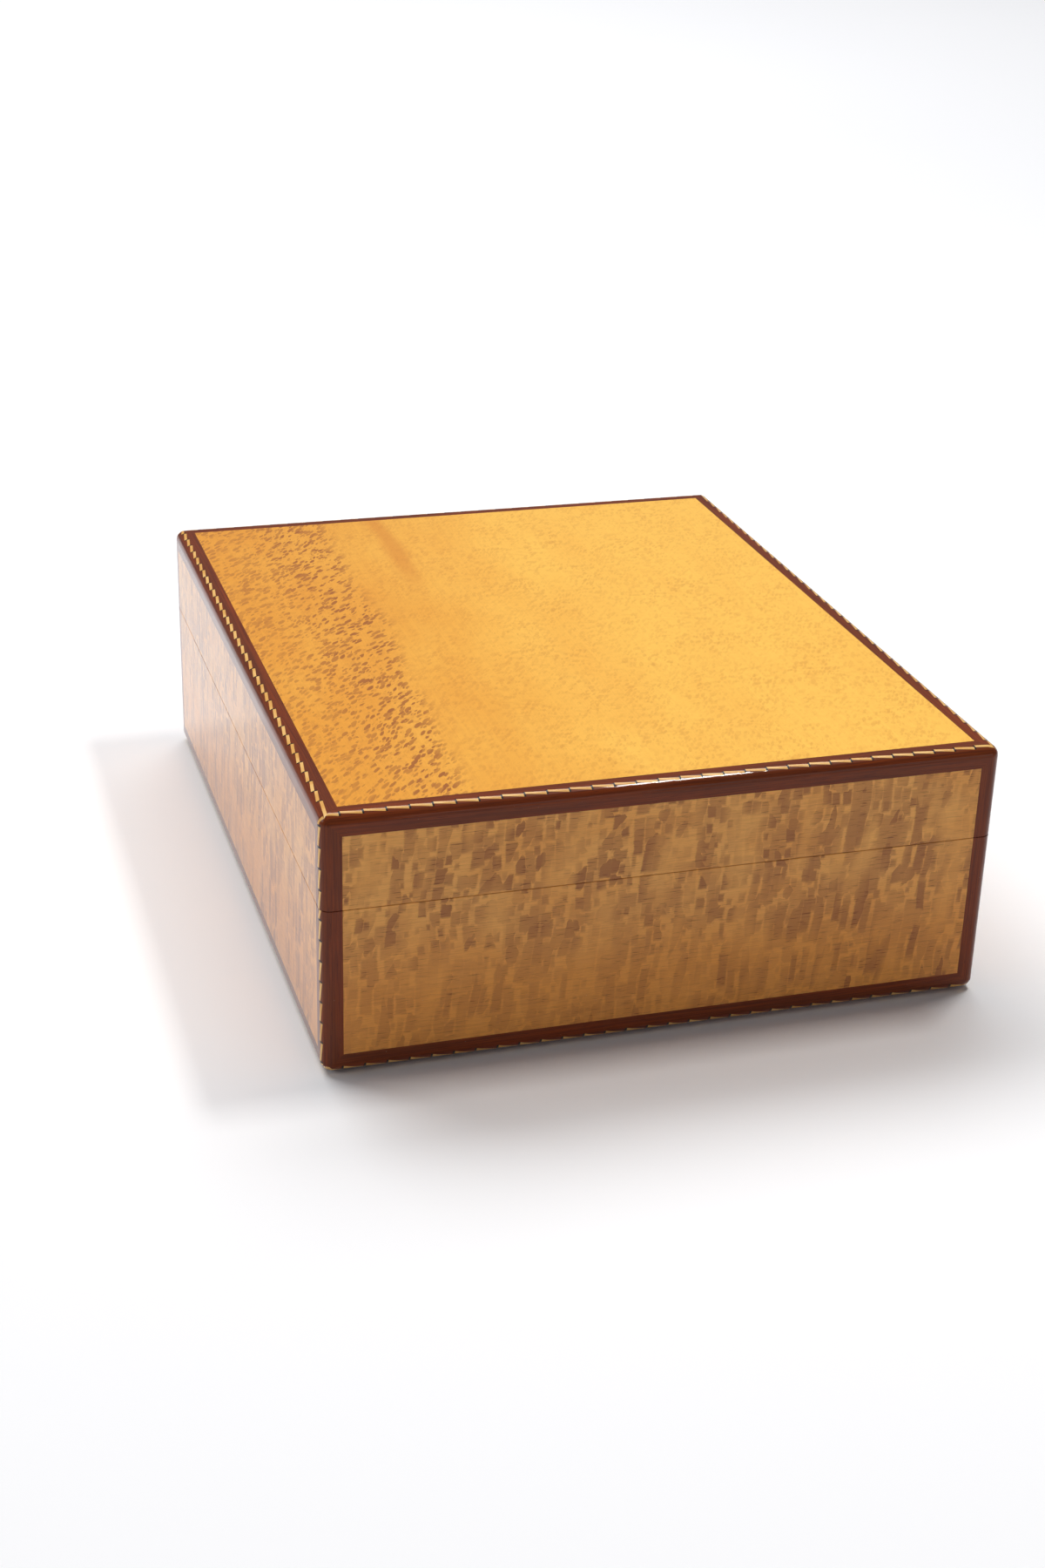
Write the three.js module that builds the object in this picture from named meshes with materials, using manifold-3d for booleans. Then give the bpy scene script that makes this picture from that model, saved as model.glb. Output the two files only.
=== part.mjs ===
// A lacquered inlaid wooden box: a mitred carcass sawn into a case and a lid, faced with figured
// veneer, edged with solid dark banding and rope stringing, and hung on one long brass hinge.
// Millimetres, +Z up. The origin is on the surface that the box stands on, under its middle.
// -Y is the opening front, +Y the hinged back, +X and -X the two ends.

import * as THREE from "three";
import { mergeVertices } from "three/addons/utils/BufferGeometryUtils.js";
import { ConvexGeometry } from "three/addons/geometries/ConvexGeometry.js";
import { RoundedBoxGeometry } from "three/addons/geometries/RoundedBoxGeometry.js";
import Module from "manifold-3d";

const wasm = await Module();
wasm.setup();

// Driving dimensions.
const LENGTH = 302; // along X
const DEPTH = 250; // along Y
const HEIGHT = 99.4; // of the wood, from underside to top
const CASE_HEIGHT = 64; // from the underside to the middle of the seam
const SEAM_GAP = 0.12; // the lid's rim above the case's rim
const SEAM_EASE_DEEP = 0.15; // both rims' outer edges are eased, which leaves a fine vee round the box
const SEAM_EASE_HIGH = 0.2;
const SEAM_EASE_PROUD = 0.1; // where the easing starts, outside the wood
const EDGE_RADIUS = 4;
const ROUND_STEPS = 12; // facets in a quarter turn of a rounded edge
const BAND = 7.6; // width of the dark edge banding on every face
const ROPE_NEAR = 1.8; // rope stringing: from the outer edge to its two sides
const ROPE_FAR = 4;
const ROPE_DEPTH = 1.8;
const BASE_ROPE_NEAR = 0.15; // the underside's stringing is further out, on the rounding itself
const BASE_ROPE_FAR = 2.35;
const BASE_ROPE_DEPTH = 2.95;
const VENEER = 1;
const WALL = 9; // carcass boards behind the veneer
const BASE_PANEL = 6;
const TOP_PANEL = 8;
const FELT_PROUD = 0.8; // how far the felt stands below the wood
const FELT_LET_IN = 0.8;
const LINING = 3; // lining boards inside the case
const LINING_LIP = 3.4; // how far they stand above the seam, to locate the lid
const LIP_CHAMFER = 0.8;
const LID_RELIEF = 0.25; // room between the lid's walls and that lip
const PAD = 3.2;
const PAD_ROOM = 0.3;
const LID_LINING = 2;

// The hinge, let into both rims along the back.
const HINGE_LENGTH = 280;
const HINGE_SET_IN = 1; // the pin's axis, in from the back face
const HINGE_RISE = 1; // and above the seam
const KNUCKLE_RADIUS = 1.5;
const KNUCKLES = 15;
const KNUCKLE_GAP = 0.2;
const KNUCKLE_FACETS = 20;
const KNUCKLE_POCKET = 0.3; // room for the knuckles to turn in
const PIN_RADIUS = 0.75;
const PIN_ROOM = 0.05;
const LEAF = 0.9; // thickness of a leaf
const LEAF_WIDTH = 6.2;
const LEAF_BACK = 2.8; // from the back face to the leaf's edge between its knuckles
const LEAF_ROOM = 0.05;
const SCREWS_PER_LEAF = 4;
const SCREW_PITCH = 84;
const SCREW_LENGTH = 8;
const SCREW_HEAD_RADIUS = 1.7;
const SCREW_SHANK_RADIUS = 0.9;
const SCREW_SLOT = 0.4;
const SCREW_ROOM = 0.1;
const SCREW_FACETS = 12;

// Where the seam opens along the back, so that the lid can swing and then stop.
const LID_BEVEL_DEEP = 1.4;
const LID_BEVEL_HIGH = 2.4;
const CASE_BEVEL_DEEP = 0.6;
const CASE_BEVEL_HIGH = 1.1;

const UNDERSIDE = FELT_PROUD;
const TOP = UNDERSIDE + HEIGHT;
const SEAM = UNDERSIDE + CASE_HEIGHT;
const CASE_RIM = SEAM - SEAM_GAP / 2;
const LID_RIM = SEAM + SEAM_GAP / 2;
const PIN_Y = DEPTH / 2 - HINGE_SET_IN;
const PIN_Z = SEAM + HINGE_RISE;
const INSIDE = VENEER + WALL; // from an outer face to the inside of the carcass
const BEYOND = 1; // how far a cutting shape reaches past the wood

const SIDES = { front: -1, back: 1 };
const ENDS = { left: -1, right: 1 };

function woodFinish(color, roughness) {
  return new THREE.MeshStandardMaterial({ color, roughness, metalness: 0 });
}

const veneerWood = woodFinish(0xd9a24e, 0.12);
const bandWood = woodFinish(0x5a2418, 0.1);
const ropeWood = woodFinish(0xe8c47c, 0.15);
const carcassWood = woodFinish(0xb98a5a, 0.6);
const liningWood = woodFinish(0x8c4f33, 0.5);
const felt = new THREE.MeshStandardMaterial({ color: 0x1f3b2b, roughness: 0.95, metalness: 0 });
const suede = new THREE.MeshStandardMaterial({ color: 0x6b4a33, roughness: 0.9, metalness: 0 });
const brass = new THREE.MeshStandardMaterial({ color: 0xc9a24a, roughness: 0.3, metalness: 1 });

// A closed three.js geometry as a solid that can be joined and cut.
function solid(geometry) {
  geometry.deleteAttribute("normal");
  geometry.deleteAttribute("uv");
  const merged = mergeVertices(geometry, 1e-5);
  return new wasm.Manifold(
    new wasm.Mesh({
      numProp: 3,
      vertProperties: new Float32Array(merged.attributes.position.array),
      triVerts: new Uint32Array(merged.index.array),
    }),
  );
}

function mesh(name, shape, material) {
  const { numProp, vertProperties, triVerts } = shape.getMesh();
  const geometry = new THREE.BufferGeometry();
  geometry.setAttribute("position", new THREE.BufferAttribute(vertProperties, numProp));
  geometry.setIndex(new THREE.BufferAttribute(triVerts, 1));
  geometry.computeVertexNormals();
  const made = new THREE.Mesh(geometry, material);
  made.name = name;
  return made;
}

function hull(points) {
  return solid(new ConvexGeometry(points.map((p) => new THREE.Vector3(...p))));
}

function block([x0, x1], [y0, y1], [z0, z1]) {
  const corners = [];
  for (const x of [x0, x1]) {
    for (const y of [y0, y1]) {
      for (const z of [z0, z1]) corners.push([x, y, z]);
    }
  }
  return hull(corners);
}

// The same block, set in from all four sides of the box.
function inset(distance, [z0, z1]) {
  const x = LENGTH / 2 - distance;
  const y = DEPTH / 2 - distance;
  return block([-x, x], [-y, y], [z0, z1]);
}

// A prism along X, from an outline of [y, z] points that bulges outwards everywhere.
function prismX(outline, halfLength) {
  return hull(outline.flatMap(([y, z]) => [[-halfLength, y, z], [halfLength, y, z]]));
}

function rodX(radius, length, facets) {
  return solid(new THREE.CylinderGeometry(radius, radius, length, facets).rotateZ(Math.PI / 2));
}

// Small slivers left past a cut are waste, so the largest piece is the part.
function largest(shape) {
  return shape.decompose().reduce((a, b) => (a.volume() > b.volume() ? a : b));
}

// A point given by its distances in from an end, a side and the top or underside.
function fromCorner([sx, sy, sz], [u, v, w]) {
  const z = sz > 0 ? TOP - w : UNDERSIDE + w;
  return [sx * (LENGTH / 2 - u), sy * (DEPTH / 2 - v), z];
}

// The end of a square edge strip that meets two others in a three-way mitre at a corner.
function mitredEnd(corner, along) {
  const distances = [0, 1, 2].map((axis) => (axis === along ? BAND : -BEYOND));
  const points = [[-BEYOND, -BEYOND, -BEYOND], [BAND, BAND, BAND]];
  for (const axis of [0, 1, 2]) {
    if (axis === along) continue;
    const point = [...distances];
    point[axis] = BAND;
    points.push(point);
  }
  return points.map((point) => fromCorner(corner, point));
}

// The end of a corner strip sawn square at the seam.
function sawnEnd([sx, sy], z) {
  const points = [];
  for (const u of [-BEYOND, BAND]) {
    for (const v of [-BEYOND, BAND]) {
      const [x, y] = fromCorner([sx, sy, 1], [u, v, 0]);
      points.push([x, y, z]);
    }
  }
  return points;
}

// The outside of the closed box, with every edge and corner rounded.
const outside = solid(
  new RoundedBoxGeometry(LENGTH, DEPTH, HEIGHT, ROUND_STEPS, EDGE_RADIUS).translate(
    0,
    0,
    UNDERSIDE + HEIGHT / 2,
  ),
);

// The plan of the box, grown or shrunk all round by an offset, at one height.
function plan(offset, z) {
  const radius = EDGE_RADIUS + offset;
  const quarters = [[1, 1], [-1, 1], [-1, -1], [1, -1]];
  const points = [];
  quarters.forEach(([sx, sy], quarter) => {
    for (let i = 0; i <= ROUND_STEPS; i++) {
      const angle = ((quarter + i / ROUND_STEPS) * Math.PI) / 2;
      const x = sx * (LENGTH / 2 - EDGE_RADIUS) + radius * Math.cos(angle);
      const y = sy * (DEPTH / 2 - EDGE_RADIUS) + radius * Math.sin(angle);
      points.push([x, y, z]);
    }
  });
  return points;
}

// All that is left of one half of the box when the outer edge of its rim is eased.
function easedHalf(rim, farEnd) {
  const towardsEnd = Math.sign(farEnd - rim);
  return hull([
    ...plan(-SEAM_EASE_DEEP, rim),
    ...plan(SEAM_EASE_PROUD, rim + towardsEnd * SEAM_EASE_HIGH),
    ...plan(SEAM_EASE_PROUD, farEnd),
  ]);
}

// Shapes that cut the back of the seam open.
function seamBevel(rim, deep, high) {
  const back = DEPTH / 2;
  const slope = high / deep;
  const outline = [
    [back - deep - BEYOND, rim - slope * BEYOND],
    [back + BEYOND, rim + high + slope * BEYOND],
    [back + BEYOND, rim - slope * BEYOND],
  ];
  return prismX(outline, LENGTH / 2 + BEYOND);
}

const lidBevel = seamBevel(LID_RIM, LID_BEVEL_DEEP, LID_BEVEL_HIGH);
const caseBevel = seamBevel(CASE_RIM, CASE_BEVEL_DEEP, -CASE_BEVEL_HIGH);
const pocketLength = HINGE_LENGTH + 2 * KNUCKLE_POCKET;
const pocketRadius = KNUCKLE_RADIUS + KNUCKLE_POCKET;
const knucklePocket = rodX(pocketRadius, pocketLength, KNUCKLE_FACETS).translate(0, PIN_Y, PIN_Z);

// A leaf's bed in the rim: it runs out through the back, under the knuckles.
function leafBed(z0, z1) {
  const half = HINGE_LENGTH / 2 + LEAF_ROOM;
  const inner = DEPTH / 2 - LEAF_BACK - LEAF_WIDTH - LEAF_ROOM;
  return block([-half, half], [inner, DEPTH / 2 + BEYOND], [z0, z1]);
}

const caseLeafBed = leafBed(CASE_RIM - LEAF - LEAF_ROOM, SEAM);
const lidLeafBed = leafBed(SEAM, LID_RIM + LEAF + LEAF_ROOM);

// Hinge screws. A screw's own Z runs from its head at 0 down to its point.
function screwProfile(room) {
  const head = SCREW_HEAD_RADIUS + room;
  const shank = SCREW_SHANK_RADIUS + room;
  const tip = SCREW_LENGTH + room;
  return [
    [0, 0],
    [head, 0],
    [shank, -LEAF],
    [shank, -tip + SCREW_SHANK_RADIUS],
    [0, -tip],
  ].map(([r, z]) => new THREE.Vector2(r, z));
}

function screwBlank(room) {
  const points = screwProfile(room).reverse();
  return solid(new THREE.LatheGeometry(points, SCREW_FACETS).rotateX(Math.PI / 2));
}

const screwWithSlot = screwBlank(0).subtract(
  block([-2, 2], [-SCREW_SLOT / 2, SCREW_SLOT / 2], [-SCREW_SLOT, BEYOND]),
);

// The hole for a screw, open at the rim.
const screwHole = screwBlank(SCREW_ROOM);

const SCREW_Y = DEPTH / 2 - LEAF_BACK - LEAF_WIDTH / 2;
const CASE_SCREW_Z = CASE_RIM - LEAF_ROOM;
const LID_SCREW_Z = LID_RIM + LEAF_ROOM;

function screwXs() {
  const first = (-SCREW_PITCH * (SCREWS_PER_LEAF - 1)) / 2;
  return Array.from({ length: SCREWS_PER_LEAF }, (_, i) => first + i * SCREW_PITCH);
}

// All the holes of one leaf. The lid's screws point up.
function screwHoles(intoLid) {
  return screwXs()
    .map((x) =>
      intoLid
        ? screwHole.rotate([180, 0, 0]).translate(x, SCREW_Y, LID_SCREW_Z)
        : screwHole.translate(x, SCREW_Y, CASE_SCREW_Z),
    )
    .reduce((a, b) => a.add(b));
}

const caseScrewHoles = screwHoles(false);
const lidScrewHoles = screwHoles(true);

// Rope stringing: a ring let into the top and one into the rounding under the faces, and a strip up
// each corner on the long faces.
function ropeRing([near, far], [z0, z1]) {
  return inset(near, [z0, z1]).subtract(inset(far, [z0 - BEYOND, z1 + BEYOND]));
}

const lidRopeBed = ropeRing([ROPE_NEAR, ROPE_FAR], [TOP - ROPE_DEPTH, TOP + BEYOND]);
const baseRopeBed = ropeRing(
  [BASE_ROPE_NEAR, BASE_ROPE_FAR],
  [UNDERSIDE - BEYOND, UNDERSIDE + BASE_ROPE_DEPTH],
);

function cornerRopeBed([sx, sy], [z0, z1]) {
  const [nearX, outerY] = fromCorner([sx, sy, 1], [ROPE_NEAR, -BEYOND, 0]);
  const [farX, innerY] = fromCorner([sx, sy, 1], [ROPE_FAR, ROPE_NEAR, 0]);
  return block([nearX, farX], [outerY, innerY], [z0, z1]);
}

const allCorners = Object.entries(SIDES).flatMap(([side, sy]) =>
  Object.entries(ENDS).map(([end, sx]) => ({ name: side + "_" + end, sx, sy })),
);

const cornerRopeBeds = allCorners
  .map(({ sx, sy }) => cornerRopeBed([sx, sy], [UNDERSIDE - BEYOND, TOP + BEYOND]))
  .reduce((a, b) => a.add(b));

const ropeBeds = lidRopeBed.add(baseRopeBed).add(cornerRopeBeds);

// What one half of the sawn box needs to know about itself.
const caseHalf = {
  name: "case",
  edge: "base",
  sz: -1,
  rim: CASE_RIM,
  outer: UNDERSIDE + FELT_LET_IN, // the far end of its carcass walls
  inside: INSIDE,
  eased: easedHalf(CASE_RIM, UNDERSIDE - BEYOND),
  bevel: caseBevel,
  leafBed: caseLeafBed,
  screwHoles: caseScrewHoles,
  edgeRopeBed: baseRopeBed,
};

const lidHalf = {
  name: "lid",
  edge: "lid",
  sz: 1,
  rim: LID_RIM,
  outer: TOP - VENEER,
  inside: INSIDE - LID_RELIEF,
  eased: easedHalf(LID_RIM, TOP + BEYOND),
  bevel: lidBevel,
  leafBed: lidLeafBed,
  screwHoles: lidScrewHoles,
  edgeRopeBed: lidRopeBed,
};

// The room for the banding, taken out of the carcass along every edge.
function bandRebates({ sz }) {
  const x = LENGTH / 2 + BEYOND;
  const y = DEPTH / 2 + BEYOND;
  const width = BEYOND + BAND;
  const zs = [-BEYOND, BAND].map((w) => fromCorner([1, 1, sz], [0, 0, w])[2]);
  const through = [UNDERSIDE - 2 * BEYOND, TOP + 2 * BEYOND];
  const corners = allCorners.map(({ sx, sy }) =>
    block([sx * x, sx * (x - width)], [sy * y, sy * (y - width)], through),
  );
  const edges = block([-x, x], [-y, y], zs).subtract(inset(BAND, through));
  return corners.reduce((all, corner) => all.add(corner), edges);
}

function hingeCuts(half) {
  return half.leafBed.add(knucklePocket).add(half.bevel);
}

// The four mitred carcass boards of one half.
function walls(half) {
  const rebates = bandRebates(half);
  const [ox, oy] = [LENGTH / 2 - VENEER, DEPTH / 2 - VENEER];
  const [ix, iy] = [LENGTH / 2 - half.inside, DEPTH / 2 - half.inside];
  const board = (points) =>
    hull([half.outer, half.rim].flatMap((z) => points.map(([x, y]) => [x, y, z]))).subtract(rebates);
  const made = [];
  for (const [side, s] of Object.entries(SIDES)) {
    let shape = board([[-ox, s * oy], [ox, s * oy], [ix, s * iy], [-ix, s * iy]]);
    if (side === "back") shape = shape.subtract(hingeCuts(half)).subtract(half.screwHoles);
    made.push(mesh(half.name + "_wall_" + side, shape, carcassWood));
  }
  for (const [end, s] of Object.entries(ENDS)) {
    const shape = board([[s * ox, -oy], [s * ox, oy], [s * ix, iy], [s * ix, -iy]]);
    made.push(mesh(half.name + "_wall_" + end, shape.subtract(hingeCuts(half)), carcassWood));
  }
  return made;
}

// The figured veneer on the four faces of one half.
function sideVeneers(half) {
  const [x, y, z] = fromCorner([1, 1, half.sz], [BAND, BAND, BAND]);
  const made = [];
  for (const [side, s] of Object.entries(SIDES)) {
    const faces = [s * (DEPTH / 2 - VENEER), (s * DEPTH) / 2];
    let sheet = block([-x, x], faces, [z, half.rim]).intersect(half.eased);
    if (side === "back") sheet = sheet.subtract(hingeCuts(half));
    made.push(mesh(half.name + "_veneer_" + side, sheet, veneerWood));
  }
  for (const [end, s] of Object.entries(ENDS)) {
    const faces = [s * (LENGTH / 2 - VENEER), (s * LENGTH) / 2];
    const sheet = block(faces, [-y, y], [z, half.rim]).intersect(half.eased);
    made.push(mesh(half.name + "_veneer_" + end, sheet, veneerWood));
  }
  return made;
}

// The dark banding along the four long edges of one half, mitred at the corners.
function edgeBands(half) {
  const strip = (ends, name) => {
    const shape = largest(outside.intersect(hull(ends)).subtract(ropeBeds));
    return mesh(half.edge + "_band_" + name, shape, bandWood);
  };
  const alongX = Object.entries(SIDES).map(([side, sy]) =>
    strip([-1, 1].flatMap((sx) => mitredEnd([sx, sy, half.sz], 0)), side),
  );
  const alongY = Object.entries(ENDS).map(([end, sx]) =>
    strip([-1, 1].flatMap((sy) => mitredEnd([sx, sy, half.sz], 1)), end),
  );
  return [...alongX, ...alongY];
}

// The banding and the rope strip up each corner of one half, sawn off at the seam.
function cornerStrips(half) {
  const made = [];
  for (const { name, sx, sy } of allCorners) {
    const region = hull([...mitredEnd([sx, sy, half.sz], 2), ...sawnEnd([sx, sy], half.rim)]);
    const far = half.sz > 0 ? TOP + BEYOND : UNDERSIDE - BEYOND;
    const wood = outside.intersect(half.eased);
    let band = wood.intersect(region).subtract(ropeBeds);
    let rope = wood.intersect(cornerRopeBed([sx, sy], [half.rim, far])).subtract(half.edgeRopeBed);
    if (sy > 0) {
      band = band.subtract(half.bevel);
      rope = rope.subtract(half.bevel);
    }
    made.push(mesh(half.name + "_corner_band_" + name, largest(band), bandWood));
    made.push(mesh(half.name + "_corner_rope_" + name, largest(rope), ropeWood));
  }
  return made;
}

function shell(half) {
  const group = new THREE.Group();
  group.add(...walls(half), ...sideVeneers(half), ...edgeBands(half), ...cornerStrips(half));
  group.add(mesh(half.edge + "_rope_ring", outside.intersect(half.edgeRopeBed), ropeWood));
  return group;
}

// The lining stands above the seam as a lip, and its outer top edge is chamfered to lead the lid on.
function liningFrame() {
  const floor = UNDERSIDE + FELT_LET_IN + BASE_PANEL;
  const lip = SEAM + LINING_LIP;
  const levels = [
    [floor, INSIDE],
    [lip - LIP_CHAMFER, INSIDE],
    [lip, INSIDE + LIP_CHAMFER],
  ];
  const corners = [];
  for (const [z, distance] of levels) {
    for (const sx of [-1, 1]) {
      for (const sy of [-1, 1]) {
        corners.push([sx * (LENGTH / 2 - distance), sy * (DEPTH / 2 - distance), z]);
      }
    }
  }
  const hollow = inset(INSIDE + LINING, [floor - BEYOND, lip + BEYOND]);
  return mesh("case_lining_frame", hull(corners).subtract(hollow), liningWood);
}

function caseInside() {
  const bottom = UNDERSIDE + FELT_LET_IN;
  const floor = bottom + BASE_PANEL;
  const group = new THREE.Group();
  group.add(
    mesh("case_base_panel", inset(INSIDE, [bottom, floor]), carcassWood),
    mesh("base_felt", inset(BAND, [UNDERSIDE - FELT_PROUD, bottom]), felt),
    liningFrame(),
    mesh("case_floor_pad", inset(INSIDE + LINING + PAD_ROOM, [floor, floor + PAD]), suede),
  );
  return group;
}

function lidInside() {
  const underVeneer = TOP - VENEER;
  const ceiling = underVeneer - TOP_PANEL;
  const group = new THREE.Group();
  group.add(
    mesh("lid_top_veneer", inset(BAND, [underVeneer, TOP]), veneerWood),
    mesh("lid_top_panel", inset(lidHalf.inside, [ceiling, underVeneer]), carcassWood),
    mesh("lid_lining_panel", inset(INSIDE + PAD_ROOM, [ceiling - LID_LINING, ceiling]), suede),
  );
  return group;
}

// Every second knuckle belongs to the case's leaf, which has the two at the ends.
function knuckles(first) {
  const pitch = HINGE_LENGTH / KNUCKLES;
  const made = [];
  for (let i = first; i < KNUCKLES; i += 2) {
    made.push({ x: -HINGE_LENGTH / 2 + (i + 0.5) * pitch, length: pitch - KNUCKLE_GAP });
  }
  return made;
}

// One leaf: a plate let into the rim, with a strap reaching out to each of its knuckles.
function hingeLeaf(name, first, [z0, z1], strapEnd, holes) {
  const inner = DEPTH / 2 - LEAF_BACK - LEAF_WIDTH;
  const outer = DEPTH / 2 - LEAF_BACK;
  let leaf = block([-HINGE_LENGTH / 2, HINGE_LENGTH / 2], [inner, outer], [z0, z1]);
  for (const { x, length } of knuckles(first)) {
    const ends = [x - length / 2, x + length / 2];
    leaf = leaf.add(block(ends, [outer - BEYOND, strapEnd], [z0, z1]));
    leaf = leaf.add(rodX(KNUCKLE_RADIUS, length, KNUCKLE_FACETS).translate(x, PIN_Y, PIN_Z));
  }
  const bore = rodX(PIN_RADIUS + PIN_ROOM, LENGTH, KNUCKLE_FACETS).translate(0, PIN_Y, PIN_Z);
  return mesh(name, leaf.subtract(bore).subtract(holes), brass);
}

function hinge() {
  const group = new THREE.Group();
  const caseLeaf = [CASE_RIM - LEAF, CASE_RIM];
  const lidLeaf = [LID_RIM, LID_RIM + LEAF];
  group.add(hingeLeaf("hinge_leaf_case", 0, caseLeaf, PIN_Y + LEAF / 2, caseScrewHoles));
  group.add(hingeLeaf("hinge_leaf_lid", 1, lidLeaf, PIN_Y - PIN_RADIUS - PIN_ROOM, lidScrewHoles));

  const pin = mesh("hinge_pin", rodX(PIN_RADIUS, HINGE_LENGTH, KNUCKLE_FACETS), brass);
  pin.position.set(0, PIN_Y, PIN_Z);
  group.add(pin);

  screwXs().forEach((x, i) => {
    const caseScrew = mesh("hinge_screw_case_" + (i + 1), screwWithSlot, brass);
    caseScrew.position.set(x, SCREW_Y, CASE_SCREW_Z);
    const lidScrew = mesh("hinge_screw_lid_" + (i + 1), screwWithSlot, brass);
    lidScrew.position.set(x, SCREW_Y, LID_SCREW_Z);
    lidScrew.rotation.x = Math.PI;
    group.add(caseScrew, lidScrew);
  });
  return group;
}

const box = new THREE.Group();
box.add(shell(caseHalf), caseInside(), shell(lidHalf), lidInside(), hinge());

export default box;
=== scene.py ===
"""The looks of a lacquered inlaid wooden box, built around its packed CAD model.

The carcass, veneers, dark banding, hinge leaves and hinge pin are the model's own solids with wood,
lacquer and brass on them. The rope stringing, the linings, the felt and the screws are made here, in
more detail than the model has. Lengths are in metres; grain and figure are drawn in millimetres.
"""

import math
import random

import bmesh
import bpy
from bpy.props import FloatProperty, FloatVectorProperty, IntProperty, PointerProperty
from mathutils import Matrix, Quaternion, Vector


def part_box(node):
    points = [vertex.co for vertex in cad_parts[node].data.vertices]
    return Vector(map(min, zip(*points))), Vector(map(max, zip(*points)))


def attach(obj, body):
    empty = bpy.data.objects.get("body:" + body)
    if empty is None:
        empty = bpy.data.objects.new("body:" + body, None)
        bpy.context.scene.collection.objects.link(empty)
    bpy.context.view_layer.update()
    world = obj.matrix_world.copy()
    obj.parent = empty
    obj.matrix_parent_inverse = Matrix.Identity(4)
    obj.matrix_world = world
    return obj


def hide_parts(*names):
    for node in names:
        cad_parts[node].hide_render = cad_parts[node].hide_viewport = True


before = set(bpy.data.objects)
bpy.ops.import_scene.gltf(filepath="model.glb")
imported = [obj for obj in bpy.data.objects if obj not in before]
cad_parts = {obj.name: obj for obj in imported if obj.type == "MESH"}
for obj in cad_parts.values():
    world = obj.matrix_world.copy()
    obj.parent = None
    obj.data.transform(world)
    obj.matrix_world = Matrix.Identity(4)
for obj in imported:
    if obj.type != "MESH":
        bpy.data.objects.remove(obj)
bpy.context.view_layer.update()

bl_info = {
    "name": "Inlaid lacquered box",
    "version": (1, 0, 0),
    "blender": (4, 5, 0),
    "location": "3D View > Sidebar > Inlaid Box",
    "description": "Veneers, strings, lines and lights a lacquered wooden box",
    "category": "Object",
}

MM = 0.001

# The outside of the wood, from the model.
HALF_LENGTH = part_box("lid_band_right")[1].x
HALF_DEPTH = -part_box("lid_band_front")[0].y
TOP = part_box("lid_top_veneer")[1].z
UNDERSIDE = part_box("base_band_front")[0].z
LID_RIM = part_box("lid_veneer_front")[0].z
CASE_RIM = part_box("case_veneer_front")[1].z
BAND_WIDTH = HALF_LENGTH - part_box("lid_top_veneer")[1].x

# The beds of the rope stringing: their two sides, as distances in from the outer edge, and their floors.
ROPE_NEAR = HALF_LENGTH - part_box("lid_rope_ring")[1].x
ROPE_FAR = HALF_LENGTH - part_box("case_corner_rope_front_right")[0].x
ROPE_WIDTH = ROPE_FAR - ROPE_NEAR
ROPE_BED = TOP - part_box("lid_rope_ring")[0].z
BASE_ROPE_NEAR = HALF_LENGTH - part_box("base_rope_ring")[1].x
BASE_ROPE_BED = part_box("base_rope_ring")[1].z - UNDERSIDE
EDGE_RADIUS = ROPE_FAR  # the rounding ends where the top's stringing does

# The bevels that open the seam along the back, depth and height, on the lid (1) and the case (-1).
SEAM_BEVELS = {1: (1.4 * MM, 2.4 * MM), -1: (0.6 * MM, 1.1 * MM)}

SIDES = {"front": -1, "back": 1}
ENDS = {"left": -1, "right": 1}
MM_PER_METRE = 1000.0


# ---------------------------------------------------------------- settings


def length(name, default, description):
    return FloatProperty(name=name, description=description, default=default, unit="LENGTH", precision=5)


def share(name, default, description):
    return FloatProperty(
        name=name, description=description, default=default, min=0.0, max=1.0, subtype="FACTOR"
    )


def colour(name, default, description):
    return FloatVectorProperty(
        name=name, description=description, default=default, size=3, min=0.0, max=1.0, subtype="COLOR"
    )


class VeneerSettings(bpy.types.PropertyGroup):
    """The figured veneer on the top and the four faces."""

    top_light: colour("Top, light", (0.96, 0.54, 0.095), "Palest wood of the top, towards the back")
    top_deep: colour("Top, deep", (0.80, 0.345, 0.045), "Deeper gold of the top, towards the front")
    top_fleck: colour("Top fleck", (0.36, 0.120, 0.032), "Rays cut across on the top")
    face_light: colour("Face, light", (0.86, 0.42, 0.110), "Pale wood of the four faces")
    face_deep: colour("Face, deep", (0.80, 0.335, 0.070), "Warmer wood low on the faces")
    face_fleck: colour("Face fleck", (0.32, 0.112, 0.038), "Broad ray flecks of the four faces")
    fleck_long: length("Fleck length", 3.9 * MM, "Room along the grain for a fleck on the top")
    fleck_wide: length("Fleck width", 1.9 * MM, "Room across the grain for a fleck on the top")
    flecked_part: length("Flecked part", 52 * MM, "How far the strong flecks reach in from the banding")
    saw_kerf: length("Saw kerf", 3.0 * MM, "Wood lost where the lid was sawn off, so the figure jumps")


class BandingSettings(bpy.types.PropertyGroup):
    """The solid dark banding along every edge."""

    colour: colour("Banding", (0.170, 0.036, 0.008), "Red-brown hardwood")
    dark: colour("Banding grain", (0.065, 0.014, 0.008), "Its darker grain lines")
    grain: length("Grain spacing", 0.45 * MM, "Distance between grain lines")


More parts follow.
